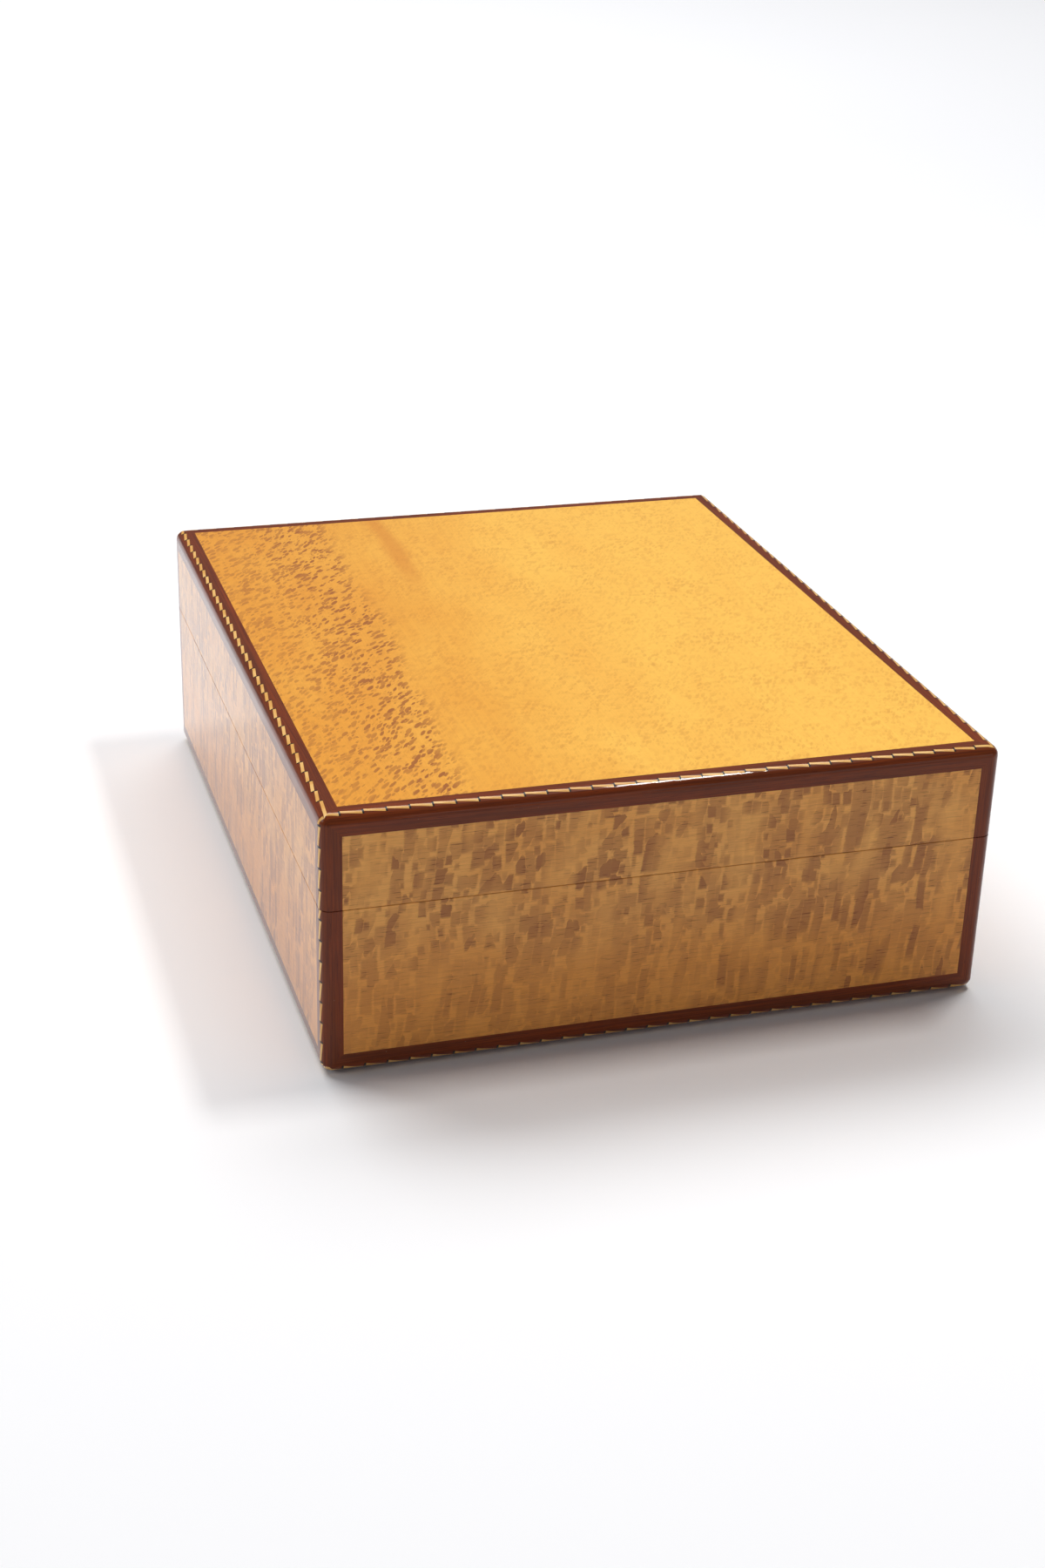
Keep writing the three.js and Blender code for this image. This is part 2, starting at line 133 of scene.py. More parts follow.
class StringingSettings(bpy.types.PropertyGroup):
    """The rope stringing let into the banding."""

    pitch: length("Pitch", 8.03 * MM, "From one joint to the next")
    first_joint: length("First joint", 7.3 * MM, "From the box's corner to the first joint of a long strip")
    corner_joint: length("Corner joint", 3.9 * MM, "From the top or underside to a corner's first joint")
    joint: length("Joint", 0.70 * MM, "Thickness of a black joint")
    tile: length("Tile", 1.15 * MM, "Width of a light tile")
    slant: length("Slant", 0.95 * MM, "How far a tile leans across the strip in its length")
    light: colour("Tile", (0.82, 0.50, 0.17), "Light tiles")
    joint_colour: colour("Joint colour", (0.010, 0.006, 0.005), "Black joints")


class CarcassSettings(bpy.types.PropertyGroup):
    """The boards behind the veneer."""

    colour: colour("Carcass", (0.50, 0.29, 0.14), "Waxed carcass wood")
    dark: colour("Carcass grain", (0.33, 0.17, 0.075), "Its darker grain")


class LiningSettings(bpy.types.PropertyGroup):
    """The inside: a lining frame, a floor pad and a panel in the lid."""

    frame_colour: colour("Lining frame", (0.20, 0.060, 0.025), "Satin hardwood")
    suede: colour("Suede", (0.17, 0.075, 0.038), "Short-napped cloth")
    crown: length("Crown", 0.7 * MM, "How much higher a pad is in its middle than near its edge")
    edge: length("Pad edge", 2.0 * MM, "Radius of a pad's upper edge")
    ease: length("Eased edge", 0.35 * MM, "Rounding of the lining boards' edges")


class FeltSettings(bpy.types.PropertyGroup):
    """The felt under the box."""

    colour: colour("Felt", (0.020, 0.060, 0.034), "Pressed felt")


class HingeSettings(bpy.types.PropertyGroup):
    """The long brass hinge and its screws."""

    brass: colour("Brass", (0.86, 0.60, 0.24), "Polished brass")
    tarnish: colour("Tarnish", (0.38, 0.22, 0.08), "Where it has dulled")
    edge: length("Eased edge", 0.09 * MM, "Rounding of the knuckles' and leaves' edges")
    facets: IntProperty(name="Screw facets", description="Steps round a screw head", default=40, min=8)


class StageSettings(bpy.types.PropertyGroup):
    """The floor, the lights and the camera."""

    floor: colour("Floor", (0.92, 0.925, 0.94), "Plain pale floor")
    room: colour("Room", (0.14, 0.14, 0.15), "Dim room that the lacquer reflects")
    beyond: colour("Backdrop", (0.86, 0.87, 0.90), "Pale backdrop beyond the floor")
    floor_size: length("Floor", 12.0, "Side of the square floor")
    lens: FloatProperty(name="Lens", description="Focal length", default=53.63, unit="CAMERA")
    camera: FloatVectorProperty(
        name="Camera", description="Where it stands", default=(0.8319, -0.2682, 0.4373), subtype="TRANSLATION"
    )
    heading: FloatProperty(
        name="Heading", description="Turn round the box", default=math.radians(72.63), subtype="ANGLE"
    )
    height: FloatProperty(
        name="Height angle", description="Above the horizon", default=math.radians(24.96), subtype="ANGLE"
    )
    roll: FloatProperty(
        name="Roll", description="Tilt of the horizon", default=math.radians(1.65), subtype="ANGLE"
    )


SETTINGS = {
    "box_veneer": VeneerSettings,
    "box_banding": BandingSettings,
    "box_stringing": StringingSettings,
    "box_carcass": CarcassSettings,
    "box_lining": LiningSettings,
    "box_felt": FeltSettings,
    "box_hinge": HingeSettings,
    "box_stage": StageSettings,
}


# ---------------------------------------------------------------- node helpers


class Nodes:
    """Adds nodes to a tree and joins them. A value given to it may be a number, a colour or an output."""

    def __init__(self, tree):
        self.tree = tree

    def add(self, kind, values=None, **settings):
        node = self.tree.nodes.new(kind)
        for name, value in settings.items():
            setattr(node, name, value)
        for name, value in (values or {}).items():
            self.feed(node.inputs[name], value)
        return node

    def feed(self, socket, value):
        if isinstance(value, bpy.types.NodeSocket):
            self.tree.links.new(value, socket)
        elif socket.type == "RGBA" and len(value) == 3:
            socket.default_value = (*value, 1.0)
        else:
            socket.default_value = value

    def math(self, operation, a, b=0.0, clamp=False):
        return self.add("ShaderNodeMath", {0: a, 1: b}, operation=operation, use_clamp=clamp).outputs[0]

    def plus(self, a, b):
        return self.math("ADD", a, b)

    def minus(self, a, b):
        return self.math("SUBTRACT", a, b)

    def times(self, a, b):
        return self.math("MULTIPLY", a, b)

    def over(self, a, b):
        return self.math("DIVIDE", a, b)

    def vector(self, operation, a, b):
        return self.add("ShaderNodeVectorMath", {0: a, 1: b}, operation=operation).outputs[0]

    def stretch(self, vector, factors):
        return self.vector("MULTIPLY", vector, factors)

    def scale(self, vector, factor):
        return self.add("ShaderNodeVectorMath", {0: vector, "Scale": factor}, operation="SCALE").outputs[0]

    def separate(self, vector):
        return self.add("ShaderNodeSeparateXYZ", {0: vector}).outputs

    def combine(self, x=0.0, y=0.0, z=0.0):
        return self.add("ShaderNodeCombineXYZ", {0: x, 1: y, 2: z}).outputs[0]

    def ramp(self, value, low, high, to_low=0.0, to_high=1.0):
        """A smooth step from to_low at low to to_high at high."""
        values = {0: value, 1: low, 2: high, 3: to_low, 4: to_high}
        return self.add("ShaderNodeMapRange", values, interpolation_type="SMOOTHSTEP").outputs[0]

    def mix(self, share, a, b):
        return self.add("ShaderNodeMix", {0: share, 6: a, 7: b}, data_type="RGBA").outputs[2]

    def noise(self, vector, detail=2.0, roughness=0.5, output="Fac"):
        """Noise with features one unit of the vector across."""
        values = {"Vector": vector, "Scale": 1.0, "Detail": detail, "Roughness": roughness}
        return self.add("ShaderNodeTexNoise", values).outputs[output]

    def cells(self, vector, randomness):
        values = {"Vector": vector, "Scale": 1.0, "Randomness": randomness}
        return self.add("ShaderNodeTexVoronoi", values).outputs


def new_group(name, inputs, outputs):
    """A shader node group with these (type, name, default) inputs and (type, name) outputs."""
    group = bpy.data.node_groups.new(name, "ShaderNodeTree")
    for kind, label, default in inputs:
        socket = group.interface.new_socket(label, in_out="INPUT", socket_type="NodeSocket" + kind)
        if default is not None:
            socket.default_value = default
    for kind, label in outputs:
        group.interface.new_socket(label, in_out="OUTPUT", socket_type="NodeSocket" + kind)
    nodes = Nodes(group)
    given = nodes.add("NodeGroupInput").outputs
    taken = nodes.add("NodeGroupOutput").inputs
    return nodes, given, taken


def group_once(name, build):
    """The node group of that name, built the first time it is asked for."""
    if name not in bpy.data.node_groups:
        build(name)
    return bpy.data.node_groups[name]


def use_group(nodes, name, build, values):
    node = nodes.add("ShaderNodeGroup", node_tree=group_once(name, build))
    for key, value in values.items():
        nodes.feed(node.inputs[key], value)
    return node.outputs


# ---------------------------------------------------------------- effects


def build_saw_kerf(name):
    """Points of the wood before the lid was sawn off, in millimetres."""
    inputs = [("Vector", "Vector", None), ("Float", "Seam Height", 0.0), ("Float", "Kerf", 0.0)]
    nodes, given, taken = new_group(name, inputs, [("Vector", "Vector")])
    x, y, z = nodes.separate(given["Vector"])
    below = nodes.math("LESS_THAN", z, given["Seam Height"])
    shifted = nodes.minus(z, nodes.times(below, given["Kerf"]))
    nodes.feed(taken["Vector"], nodes.scale(nodes.combine(x, y, shifted), MM_PER_METRE))


def build_fine_grain(name):
    """Long fibres along X and short open pores, both in a vector of millimetres."""
    inputs = [
        ("Vector", "Vector", None),
        ("Float", "Spacing", 0.5),
        ("Float", "Fibre Length", 60.0),
        ("Float", "Waviness", 1.0),
        ("Float", "Pore Length", 2.5),
    ]
    outputs = [("Float", "Lines"), ("Float", "Bands"), ("Float", "Pores")]
    nodes, given, taken = new_group(name, inputs, outputs)
    drift = nodes.noise(nodes.stretch(given["Vector"], (0.018, 0.03, 0.03)), 1.0)
    drift = nodes.times(nodes.minus(drift, 0.5), given["Waviness"])
    x, y, z = nodes.separate(given["Vector"])
    y = nodes.plus(y, drift)
    along = nodes.over(x, given["Fibre Length"])
    across = nodes.over(y, given["Spacing"])
    depth = nodes.over(z, given["Spacing"])
    lines = nodes.noise(nodes.combine(along, across, depth), 3.0, 0.6)
    nodes.feed(taken["Lines"], nodes.ramp(lines, 0.32, 0.68))
    broad = nodes.combine(nodes.times(along, 0.4), nodes.times(y, 0.16), nodes.times(z, 0.16))
    nodes.feed(taken["Bands"], nodes.ramp(nodes.noise(broad, 2.0), 0.3, 0.7))
    pore_x = nodes.over(x, given["Pore Length"])
    pores = nodes.noise(nodes.combine(pore_x, nodes.times(y, 5.5), nodes.times(z, 5.5)), 0.0)
    nodes.feed(taken["Pores"], nodes.ramp(pores, 0.70, 0.80))


def build_leopard_flecks(name):
    """Short flecks lying nearly along the grain, which runs along X, in swirling rows."""
    inputs = [
        ("Vector", "Vector", None),
        ("Float", "Length", 5.0),
        ("Float", "Width", 2.4),
        ("Float", "Swirl", 9.0),
        ("Float", "Lean", 0.6),
        ("Float", "Coverage", 0.5),
    ]
    nodes, given, taken = new_group(name, inputs, [("Float", "Flecks"), ("Float", "Tone")])
    eddies = nodes.noise(nodes.stretch(given["Vector"], (0.03, 0.03, 0.03)), 1.5, 0.5, "Color")
    eddies = nodes.vector("SUBTRACT", eddies, (0.5, 0.5, 0.5))
    shift = nodes.scale(eddies, given["Swirl"])
    x, y, _ = nodes.separate(nodes.vector("ADD", given["Vector"], shift))
    y = nodes.plus(y, nodes.times(x, given["Lean"]))
    place = nodes.combine(nodes.over(x, given["Length"]), nodes.over(y, given["Width"]))
    cell = nodes.cells(place, 0.9)
    ragged = nodes.noise(nodes.stretch(given["Vector"], (0.7, 1.4, 1.0)), 1.0)
    reach = nodes.plus(cell["Distance"], nodes.times(ragged, 0.22))
    random_red = nodes.separate(cell["Color"])[0]
    edge = nodes.times(given["Coverage"], nodes.plus(random_red, 0.45))
    inside = nodes.ramp(nodes.minus(edge, reach), -0.09, 0.07)
    nodes.feed(taken["Flecks"], inside)
    nodes.feed(taken["Tone"], nodes.separate(cell["Color"])[1])


def build_ray_blocks(name):
    """Broad ray flecks across grain that runs along X: crisp at their ends and frayed at their sides."""
    inputs = [
        ("Vector", "Vector", None),
        ("Float", "Width", 5.0),
        ("Float", "Height", 6.5),
        ("Float", "Lean", 0.3),
        ("Float", "Coverage", 0.45),
    ]
    nodes, given, taken = new_group(name, inputs, [("Float", "Flecks"), ("Float", "Tone")])
    eddies = nodes.noise(nodes.stretch(given["Vector"], (0.03, 0.03, 0.0)), 1.0, 0.5, "Color")
    eddies = nodes.stretch(nodes.vector("SUBTRACT", eddies, (0.5, 0.5, 0.5)), (6.0, 9.0, 0.0))
    x, y, _ = nodes.separate(nodes.vector("ADD", given["Vector"], eddies))
    x = nodes.minus(x, nodes.times(y, given["Lean"]))
    place = nodes.combine(nodes.over(x, given["Width"]), nodes.over(y, given["Height"]), 0.0)
    values = {"Vector": place, "Scale": 1.0, "Randomness": 0.9}
    cell = nodes.add("ShaderNodeTexVoronoi", values, distance="CHEBYCHEV", voronoi_dimensions="2D").outputs
    fray = nodes.noise(nodes.stretch(given["Vector"], (0.25, 2.6, 0.0)), 2.0, 0.6)
    blur = nodes.noise(nodes.stretch(given["Vector"], (0.5, 0.35, 0.0)), 1.0)
    uneven = nodes.plus(nodes.times(fray, 0.26), nodes.times(blur, 0.12))
    reach = nodes.plus(cell["Distance"], nodes.minus(uneven, 0.19))
    random_size = nodes.separate(cell["Color"])[0]
    edge = nodes.times(given["Coverage"], nodes.plus(random_size, 0.4))
    nodes.feed(taken["Flecks"], nodes.ramp(nodes.minus(edge, reach), -0.09, 0.13))
    nodes.feed(taken["Tone"], nodes.separate(cell["Color"])[1])


def build_lacquer(name):
    """What keeps a polished lacquer from being a perfect mirror: faint waves, haze and fine dust."""
    inputs = [("Vector", "Vector", None), ("Float", "Roughness", 0.05), ("Float", "Haze", 0.05)]
    outputs = [("Float", "Roughness"), ("Float", "Waves"), ("Float", "Dust")]
    nodes, given, taken = new_group(name, inputs, outputs)
    smear = nodes.noise(nodes.stretch(given["Vector"], (0.02, 0.03, 0.025)), 3.0, 0.6)
    haze = nodes.times(nodes.ramp(smear, 0.4, 0.75), given["Haze"])
    nodes.feed(taken["Roughness"], nodes.plus(given["Roughness"], haze))
    waves = nodes.noise(nodes.stretch(given["Vector"], (0.12, 0.12, 0.12)), 1.0)
    nodes.feed(taken["Waves"], waves)
    specks = nodes.cells(nodes.stretch(given["Vector"], (0.45, 0.45, 0.45)), 1.0)
    size = nodes.times(nodes.separate(specks["Color"])[0], 0.035)
    near = nodes.math("LESS_THAN", specks["Distance"], size)
    few = nodes.math("GREATER_THAN", nodes.separate(specks["Color"])[1], 0.72)
    nodes.feed(taken["Dust"], nodes.times(near, few))


def build_nap(name):
    """A short nap or felted pile: brushed patches, single fibres and their height."""
    inputs = [("Vector", "Vector", None), ("Float", "Fibre", 0.25), ("Float", "Patch", 14.0)]
    outputs = [("Float", "Brushed"), ("Float", "Fibres"), ("Float", "Height")]
    nodes, given, taken = new_group(name, inputs, outputs)
    wide = nodes.scale(given["Vector"], nodes.over(1.0, given["Patch"]))
    brushed = nodes.noise(nodes.stretch(wide, (1.0, 0.55, 1.0)), 3.0, 0.55)
    nodes.feed(taken["Brushed"], nodes.ramp(brushed, 0.35, 0.65))
    fine = nodes.scale(given["Vector"], nodes.over(1.0, given["Fibre"]))
    one_way = nodes.noise(nodes.stretch(fine, (1.0, 0.22, 0.6)), 2.0, 0.7)
    other_way = nodes.noise(nodes.stretch(fine, (0.25, 1.0, 0.6)), 2.0, 0.7)
    fibres = nodes.math("MAXIMUM", one_way, other_way)
    nodes.feed(taken["Fibres"], nodes.ramp(fibres, 0.4, 0.75))
    nodes.feed(taken["Height"], nodes.plus(fibres, nodes.times(brushed, 0.6)))


def build_polish_marks(name):
    """Fine polishing lines along X, and patches of tarnish, on brass."""
    inputs = [("Vector", "Vector", None), ("Float", "Tarnished", 0.4)]
    outputs = [("Float", "Tarnish"), ("Float", "Lines"), ("Float", "Roughness")]
    nodes, given, taken = new_group(name, inputs, outputs)
    patches = nodes.noise(nodes.stretch(given["Vector"], (0.12, 0.35, 0.35)), 4.0, 0.65)
    low = nodes.minus(0.78, nodes.times(given["Tarnished"], 0.4))
    tarnish = nodes.ramp(patches, low, nodes.plus(low, 0.25))
    lines = nodes.noise(nodes.stretch(given["Vector"], (0.25, 9.0, 9.0)), 2.0, 0.6)
    nodes.feed(taken["Tarnish"], tarnish)
    nodes.feed(taken["Lines"], lines)
    rough = nodes.plus(nodes.times(lines, 0.14), nodes.times(tarnish, 0.25))
    nodes.feed(taken["Roughness"], nodes.plus(rough, 0.14))


# ---------------------------------------------------------------- materials


def new_material(name, **values):
    """A material with one Principled BSDF, whose plain sockets are set from values."""
    material = bpy.data.materials.new(name)
    material.use_nodes = True
    material.node_tree.nodes.clear()
    nodes = Nodes(material.node_tree)
    shader = nodes.add("ShaderNodeBsdfPrincipled")
    for key, value in values.items():
        nodes.feed(shader.inputs[key.replace("_", " ")], value)
    output = nodes.add("ShaderNodeOutputMaterial")
    nodes.feed(output.inputs["Surface"], shader.outputs["BSDF"])
    return material, nodes, shader.inputs


def object_point(nodes):
    return nodes.add("ShaderNodeTexCoord").outputs["Object"]


def point_in_mm(nodes):
    return nodes.scale(object_point(nodes), MM_PER_METRE)


def sawn_point(nodes):
    """Points in millimetres that run on through the saw kerf."""
    values = {
        "Vector": object_point(nodes),
        "Seam Height": (LID_RIM + CASE_RIM) / 2,
        "Kerf": bpy.context.scene.box_veneer.saw_kerf,
    }
    return use_group(nodes, "Saw kerf", build_saw_kerf, values)["Vector"]


def turned(nodes, point, order, offset=(0.0, 0.0, 0.0)):
    """The point with its axes in another order, such as "YZX", so that the grain runs along the first."""
    axes = nodes.separate(point)
    picked = nodes.combine(*[axes["XYZ".index(letter)] for letter in order])
    return nodes.vector("ADD", picked, offset)


def bump(nodes, height, strength, distance):
    values = {"Height": height, "Strength": strength, "Distance": distance}
    return nodes.add("ShaderNodeBump", values).outputs["Normal"]


LACQUERED = {
    "IOR": 1.5,
    "Specular_IOR_Level": 0.05,
    "Coat_Weight": 1.0,
    "Coat_IOR": 1.25,
    "Coat_Roughness": 0.02,
}


def lacquer_over(nodes, shader, wood, height, roughness=0.28):
    """Finishes a lacquered wood: its colour, the dust on it, and the wood's own slight unevenness."""
    values = {"Vector": sawn_point(nodes), "Roughness": roughness, "Haze": 0.08}
    lacquer = use_group(nodes, "Lacquer", build_lacquer, values)
    pale_dust = nodes.mix(nodes.times(lacquer["Dust"], 0.5), wood, (0.62, 0.56, 0.5))
    nodes.feed(shader["Base Color"], pale_dust)
    nodes.feed(shader["Roughness"], lacquer["Roughness"])
    nodes.feed(shader["Normal"], bump(nodes, height, 0.25, 0.04 * MM))
    nodes.feed(shader["Coat Normal"], bump(nodes, lacquer["Waves"], 0.08, 0.05 * MM))


def top_veneer():
    """The top: golden wood with leopard flecks at the front and a faint ripple towards the back."""
    s = bpy.context.scene.box_veneer
    material, nodes, shader = new_material("figured veneer, top", **LACQUERED)
    point = sawn_point(nodes)
    x, y, _ = nodes.separate(point)
    front = (BAND_WIDTH - HALF_DEPTH) * MM_PER_METRE
    inner = nodes.plus(nodes.times(x, -0.03), front + s.flecked_part * MM_PER_METRE)

    wander = nodes.noise(nodes.stretch(point, (0.012, 0.02, 0.0)), 2.0)
    wander = nodes.times(nodes.minus(wander, 0.5), 26.0)
    line = nodes.plus(y, wander)
    beyond = nodes.minus(line, inner)
    flecked = nodes.ramp(beyond, 6.0, -6.0)
    strong = nodes.times(nodes.ramp(beyond, -40.0, -14.0), flecked)

    values = {
        "Vector": point,
        "Length": s.fleck_long * MM_PER_METRE,
        "Width": s.fleck_wide * MM_PER_METRE,
        "Swirl": 8.0,
        "Lean": 0.6,
        "Coverage": 0.56,
    }
    leopard = use_group(nodes, "Leopard flecks", build_leopard_flecks, values)
    values.update({"Length": 3.6, "Width": 1.5, "Swirl": 9.0, "Lean": 0.5, "Coverage": 0.52})
    sparse = use_group(nodes, "Leopard flecks", build_leopard_flecks, values)
    values = {"Vector": point, "Spacing": 0.5, "Fibre Length": 70.0, "Waviness": 5.0, "Pore Length": 1.6}
    grain = use_group(nodes, "Fine grain", build_fine_grain, values)

    depth = nodes.ramp(line, front - 5.0, 60.0)
    cloud = nodes.noise(nodes.stretch(point, (0.012, 0.035, 0.0)), 3.0)
    depth = nodes.math("ADD", depth, nodes.times(nodes.minus(cloud, 0.5), 0.9), True)
    wood = nodes.mix(depth, s.top_deep, s.top_light)
    bend = nodes.noise(nodes.stretch(point, (0.03, 0.02, 0.0)), 1.0)
    bent_x = nodes.plus(x, nodes.times(bend, 16.0))
    ripple = nodes.noise(nodes.combine(nodes.times(bent_x, 0.30), nodes.times(y, 0.22)), 2.0, 0.55)
    patchy = nodes.noise(nodes.stretch(point, (0.05, 0.05, 0.0)), 2.0)
    ripple = nodes.times(nodes.ramp(ripple, 0.42, 0.72), nodes.ramp(patchy, 0.3, 0.65, 0.35, 1.0))
    soft = nodes.mix(0.55, s.top_deep, s.top_fleck)
    wood = nodes.mix(nodes.times(ripple, 0.22), wood, soft)
    scattered = nodes.times(sparse["Flecks"], nodes.ramp(patchy, 0.30, 0.70, 0.10, 0.28))
    wood = nodes.mix(scattered, wood, soft)
    wood = nodes.mix(nodes.times(grain["Lines"], 0.08), wood, s.top_fleck)

    streak_y = nodes.plus(nodes.plus(y, 38.0), nodes.times(wander, 0.5))
    streak = nodes.ramp(nodes.math("ABSOLUTE", streak_y), 6.5, 0.5)
    streak = nodes.times(streak, nodes.ramp(x, -35.0, -95.0))
    wood = nodes.mix(nodes.times(streak, 0.50), wood, (0.62, 0.21, 0.030))

    tone = nodes.ramp(leopard["Tone"], 0.0, 1.0, 0.6, 1.0)
    amount = nodes.times(leopard["Flecks"], tone)
    faint = nodes.times(flecked, 0.58)
    amount = nodes.times(amount, nodes.plus(nodes.times(strong, 0.40), faint))
    wood = nodes.mix(amount, wood, s.top_fleck)
    wood = nodes.mix(nodes.times(grain["Pores"], 0.25), wood, s.top_fleck)
    lacquer_over(nodes, shader, wood, grain["Lines"])
    return material


def face_veneer(name, order, seed, lean):
    """A face: grain along its length, crossed by blocks of ray fleck that climb and lean."""
    s = bpy.context.scene.box_veneer
    material, nodes, shader = new_material("figured veneer, " + name, **LACQUERED)
    point = turned(nodes, sawn_point(nodes), order, (seed, 0.0, 0.0))
    x, y, _ = nodes.separate(point)
    high = nodes.ramp(y, 20.0, 62.0)

    values = {"Vector": point, "Width": 3.9, "Height": 6.4, "Lean": lean * 0.15, "Coverage": 0.47}
    short = use_group(nodes, "Ray blocks", build_ray_blocks, values)
    beside = nodes.vector("ADD", point, (37.0, 11.0, 5.0))
    values.update({"Vector": beside, "Width": 4.2, "Height": 18.0, "Lean": lean * 0.18, "Coverage": 0.44})
    tall = use_group(nodes, "Ray blocks", build_ray_blocks, values)
    values = {"Vector": point, "Spacing": 0.42, "Fibre Length": 45.0, "Waviness": 3.0, "Pore Length": 3.5}
    grain = use_group(nodes, "Fine grain", build_fine_grain, values)

    wood = nodes.mix(high, s.face_deep, s.face_light)
    warm = nodes.noise(nodes.stretch(point, (0.03, 0.045, 0.0)), 2.0)
    wood = nodes.mix(nodes.ramp(warm, 0.35, 0.7, 0.0, 0.55), wood, s.face_deep)
    wood = nodes.mix(nodes.times(grain["Lines"], 0.18), wood, s.face_fleck)

    climbing = nodes.combine(nodes.minus(x, nodes.times(y, lean * 0.5)), y, 0.0)
    patchy = nodes.noise(nodes.stretch(climbing, (0.075, 0.022, 0.0)), 2.0)
    patchy = nodes.ramp(patchy, 0.34, 0.56, 0.22, 1.0)
    tall_share = nodes.times(nodes.ramp(x, -40.0, 90.0, 0.50, 0.80), nodes.ramp(tall["Tone"], 0, 1, 0.4, 1))
    short_share = nodes.times(nodes.ramp(high, 0.0, 1.0, 0.38, 0.85), nodes.ramp(short["Tone"], 0, 1, 0.5, 1))
    low_part = nodes.times(tall["Flecks"], tall_share)
    high_part = nodes.times(short["Flecks"], short_share)
    flecks = nodes.times(nodes.math("MAXIMUM", low_part, high_part), patchy)
    wood = nodes.mix(flecks, wood, s.face_fleck)
    thin = nodes.noise(nodes.stretch(point, (0.16, 2.2, 0.0)), 1.0)
    thin = nodes.times(nodes.ramp(thin, 0.60, 0.70), nodes.ramp(flecks, 0.0, 0.6, 0.15, 0.75))
    wood = nodes.mix(thin, wood, (0.17, 0.055, 0.020))
    wood = nodes.mix(nodes.times(grain["Pores"], 0.4), wood, s.face_fleck)
    lacquer_over(nodes, shader, wood, grain["Lines"])
    return material


def banding_wood(name, order, seed):
    """Dark red-brown banding with its grain along the strip."""
    s = bpy.context.scene.box_banding
    material, nodes, shader = new_material("dark banding, " + name, **LACQUERED)
    point = turned(nodes, sawn_point(nodes), order, (seed, 0.0, 0.0))
    spacing = s.grain * MM_PER_METRE
    values = {"Vector": point, "Spacing": spacing, "Fibre Length": 35.0, "Waviness": 2.0, "Pore Length": 4.0}
    grain = use_group(nodes, "Fine grain", build_fine_grain, values)
    redder = tuple(min(1.0, c * k) for c, k in zip(s.colour, (1.35, 1.15, 1.0)))
    wood = nodes.mix(grain["Bands"], s.colour, redder)
    wood = nodes.mix(nodes.times(grain["Lines"], 0.62), wood, s.dark)
    wood = nodes.mix(nodes.times(grain["Pores"], 0.7), wood, s.dark)
    lacquer_over(nodes, shader, wood, grain["Lines"])
    return material


def tile_wood(order):
    s = bpy.context.scene.box_stringing
    material, nodes, shader = new_material("stringing tile, grain " + order[0], **LACQUERED)
    point = turned(nodes, point_in_mm(nodes), order)
    values = {"Vector": point, "Spacing": 0.22, "Fibre Length": 9.0, "Waviness": 0.3, "Pore Length": 1.2}
    grain = use_group(nodes, "Fine grain", build_fine_grain, values)
    each = nodes.noise(nodes.stretch(point, (0.125, 0.2, 0.2)), 0.0)
    warm = tuple(c * k for c, k in zip(s.light, (0.86, 0.74, 0.55)))
    wood = nodes.mix(nodes.ramp(each, 0.35, 0.65), s.light, warm)
    wood = nodes.mix(nodes.times(grain["Lines"], 0.28), wood, warm)
    wood = nodes.mix(nodes.times(grain["Pores"], 0.35), wood, (0.30, 0.13, 0.05))
    lacquer_over(nodes, shader, wood, grain["Lines"])
    return material


def joint_wood():
    s = bpy.context.scene.box_stringing
    material, nodes, shader = new_material("stringing joint", **LACQUERED)
    point = point_in_mm(nodes)
    streaks = nodes.noise(nodes.stretch(point, (2.0, 2.0, 2.0)), 2.0)
    brown = tuple(c * 2.6 for c in s.joint_colour)
    lacquer_over(nodes, shader, nodes.mix(streaks, s.joint_colour, brown), streaks)
    return material


def board_wood(name, order, pale, dark, roughness, spacing=0.7):
    """Plain unlacquered board with its grain along the first axis of order."""
    material, nodes, shader = new_material(name, IOR=1.5)
    point = turned(nodes, sawn_point(nodes), order)
    values = {"Vector": point, "Spacing": spacing, "Fibre Length": 80.0, "Waviness": 6.0, "Pore Length": 5.0}
    grain = use_group(nodes, "Fine grain", build_fine_grain, values)
    wood = nodes.mix(nodes.times(grain["Bands"], 0.55), pale, dark)
    wood = nodes.mix(nodes.times(grain["Lines"], 0.45), wood, dark)
    deepest = tuple(c * 0.45 for c in dark)
    wood = nodes.mix(nodes.times(grain["Pores"], 0.7), wood, deepest)
    nodes.feed(shader["Base Color"], wood)
    rough = nodes.plus(nodes.times(grain["Lines"], 0.15), roughness)
    nodes.feed(shader["Roughness"], rough)
    height = nodes.minus(nodes.times(grain["Lines"], 0.4), grain["Pores"])
    nodes.feed(shader["Normal"], bump(nodes, height, 0.35, 0.05 * MM))
    return material


def napped_cloth(name, base, fibre, patch, sheen, depth):
    tint = tuple(min(1.0, c * 3) for c in base)
    material, nodes, shader = new_material(
        name, IOR=1.4, Sheen_Weight=sheen, Sheen_Roughness=0.45, Sheen_Tint=tint
    )
    point = point_in_mm(nodes)
    nap = use_group(nodes, "Nap", build_nap, {"Vector": point, "Fibre": fibre, "Patch": patch})
    brushed = tuple(c * 1.14 for c in base)
    against = tuple(c * 0.86 for c in base)
    cloth = nodes.mix(nap["Brushed"], against, brushed)
    cloth = nodes.mix(nodes.times(nap["Fibres"], 0.35), cloth, tuple(c * 2.0 for c in base))
    nodes.feed(shader["Base Color"], cloth)
    nodes.feed(shader["Roughness"], nodes.ramp(nap["Brushed"], 0.0, 1.0, 0.95, 0.82))
    nodes.feed(shader["Normal"], bump(nodes, nap["Height"], 0.6, depth))
    return material


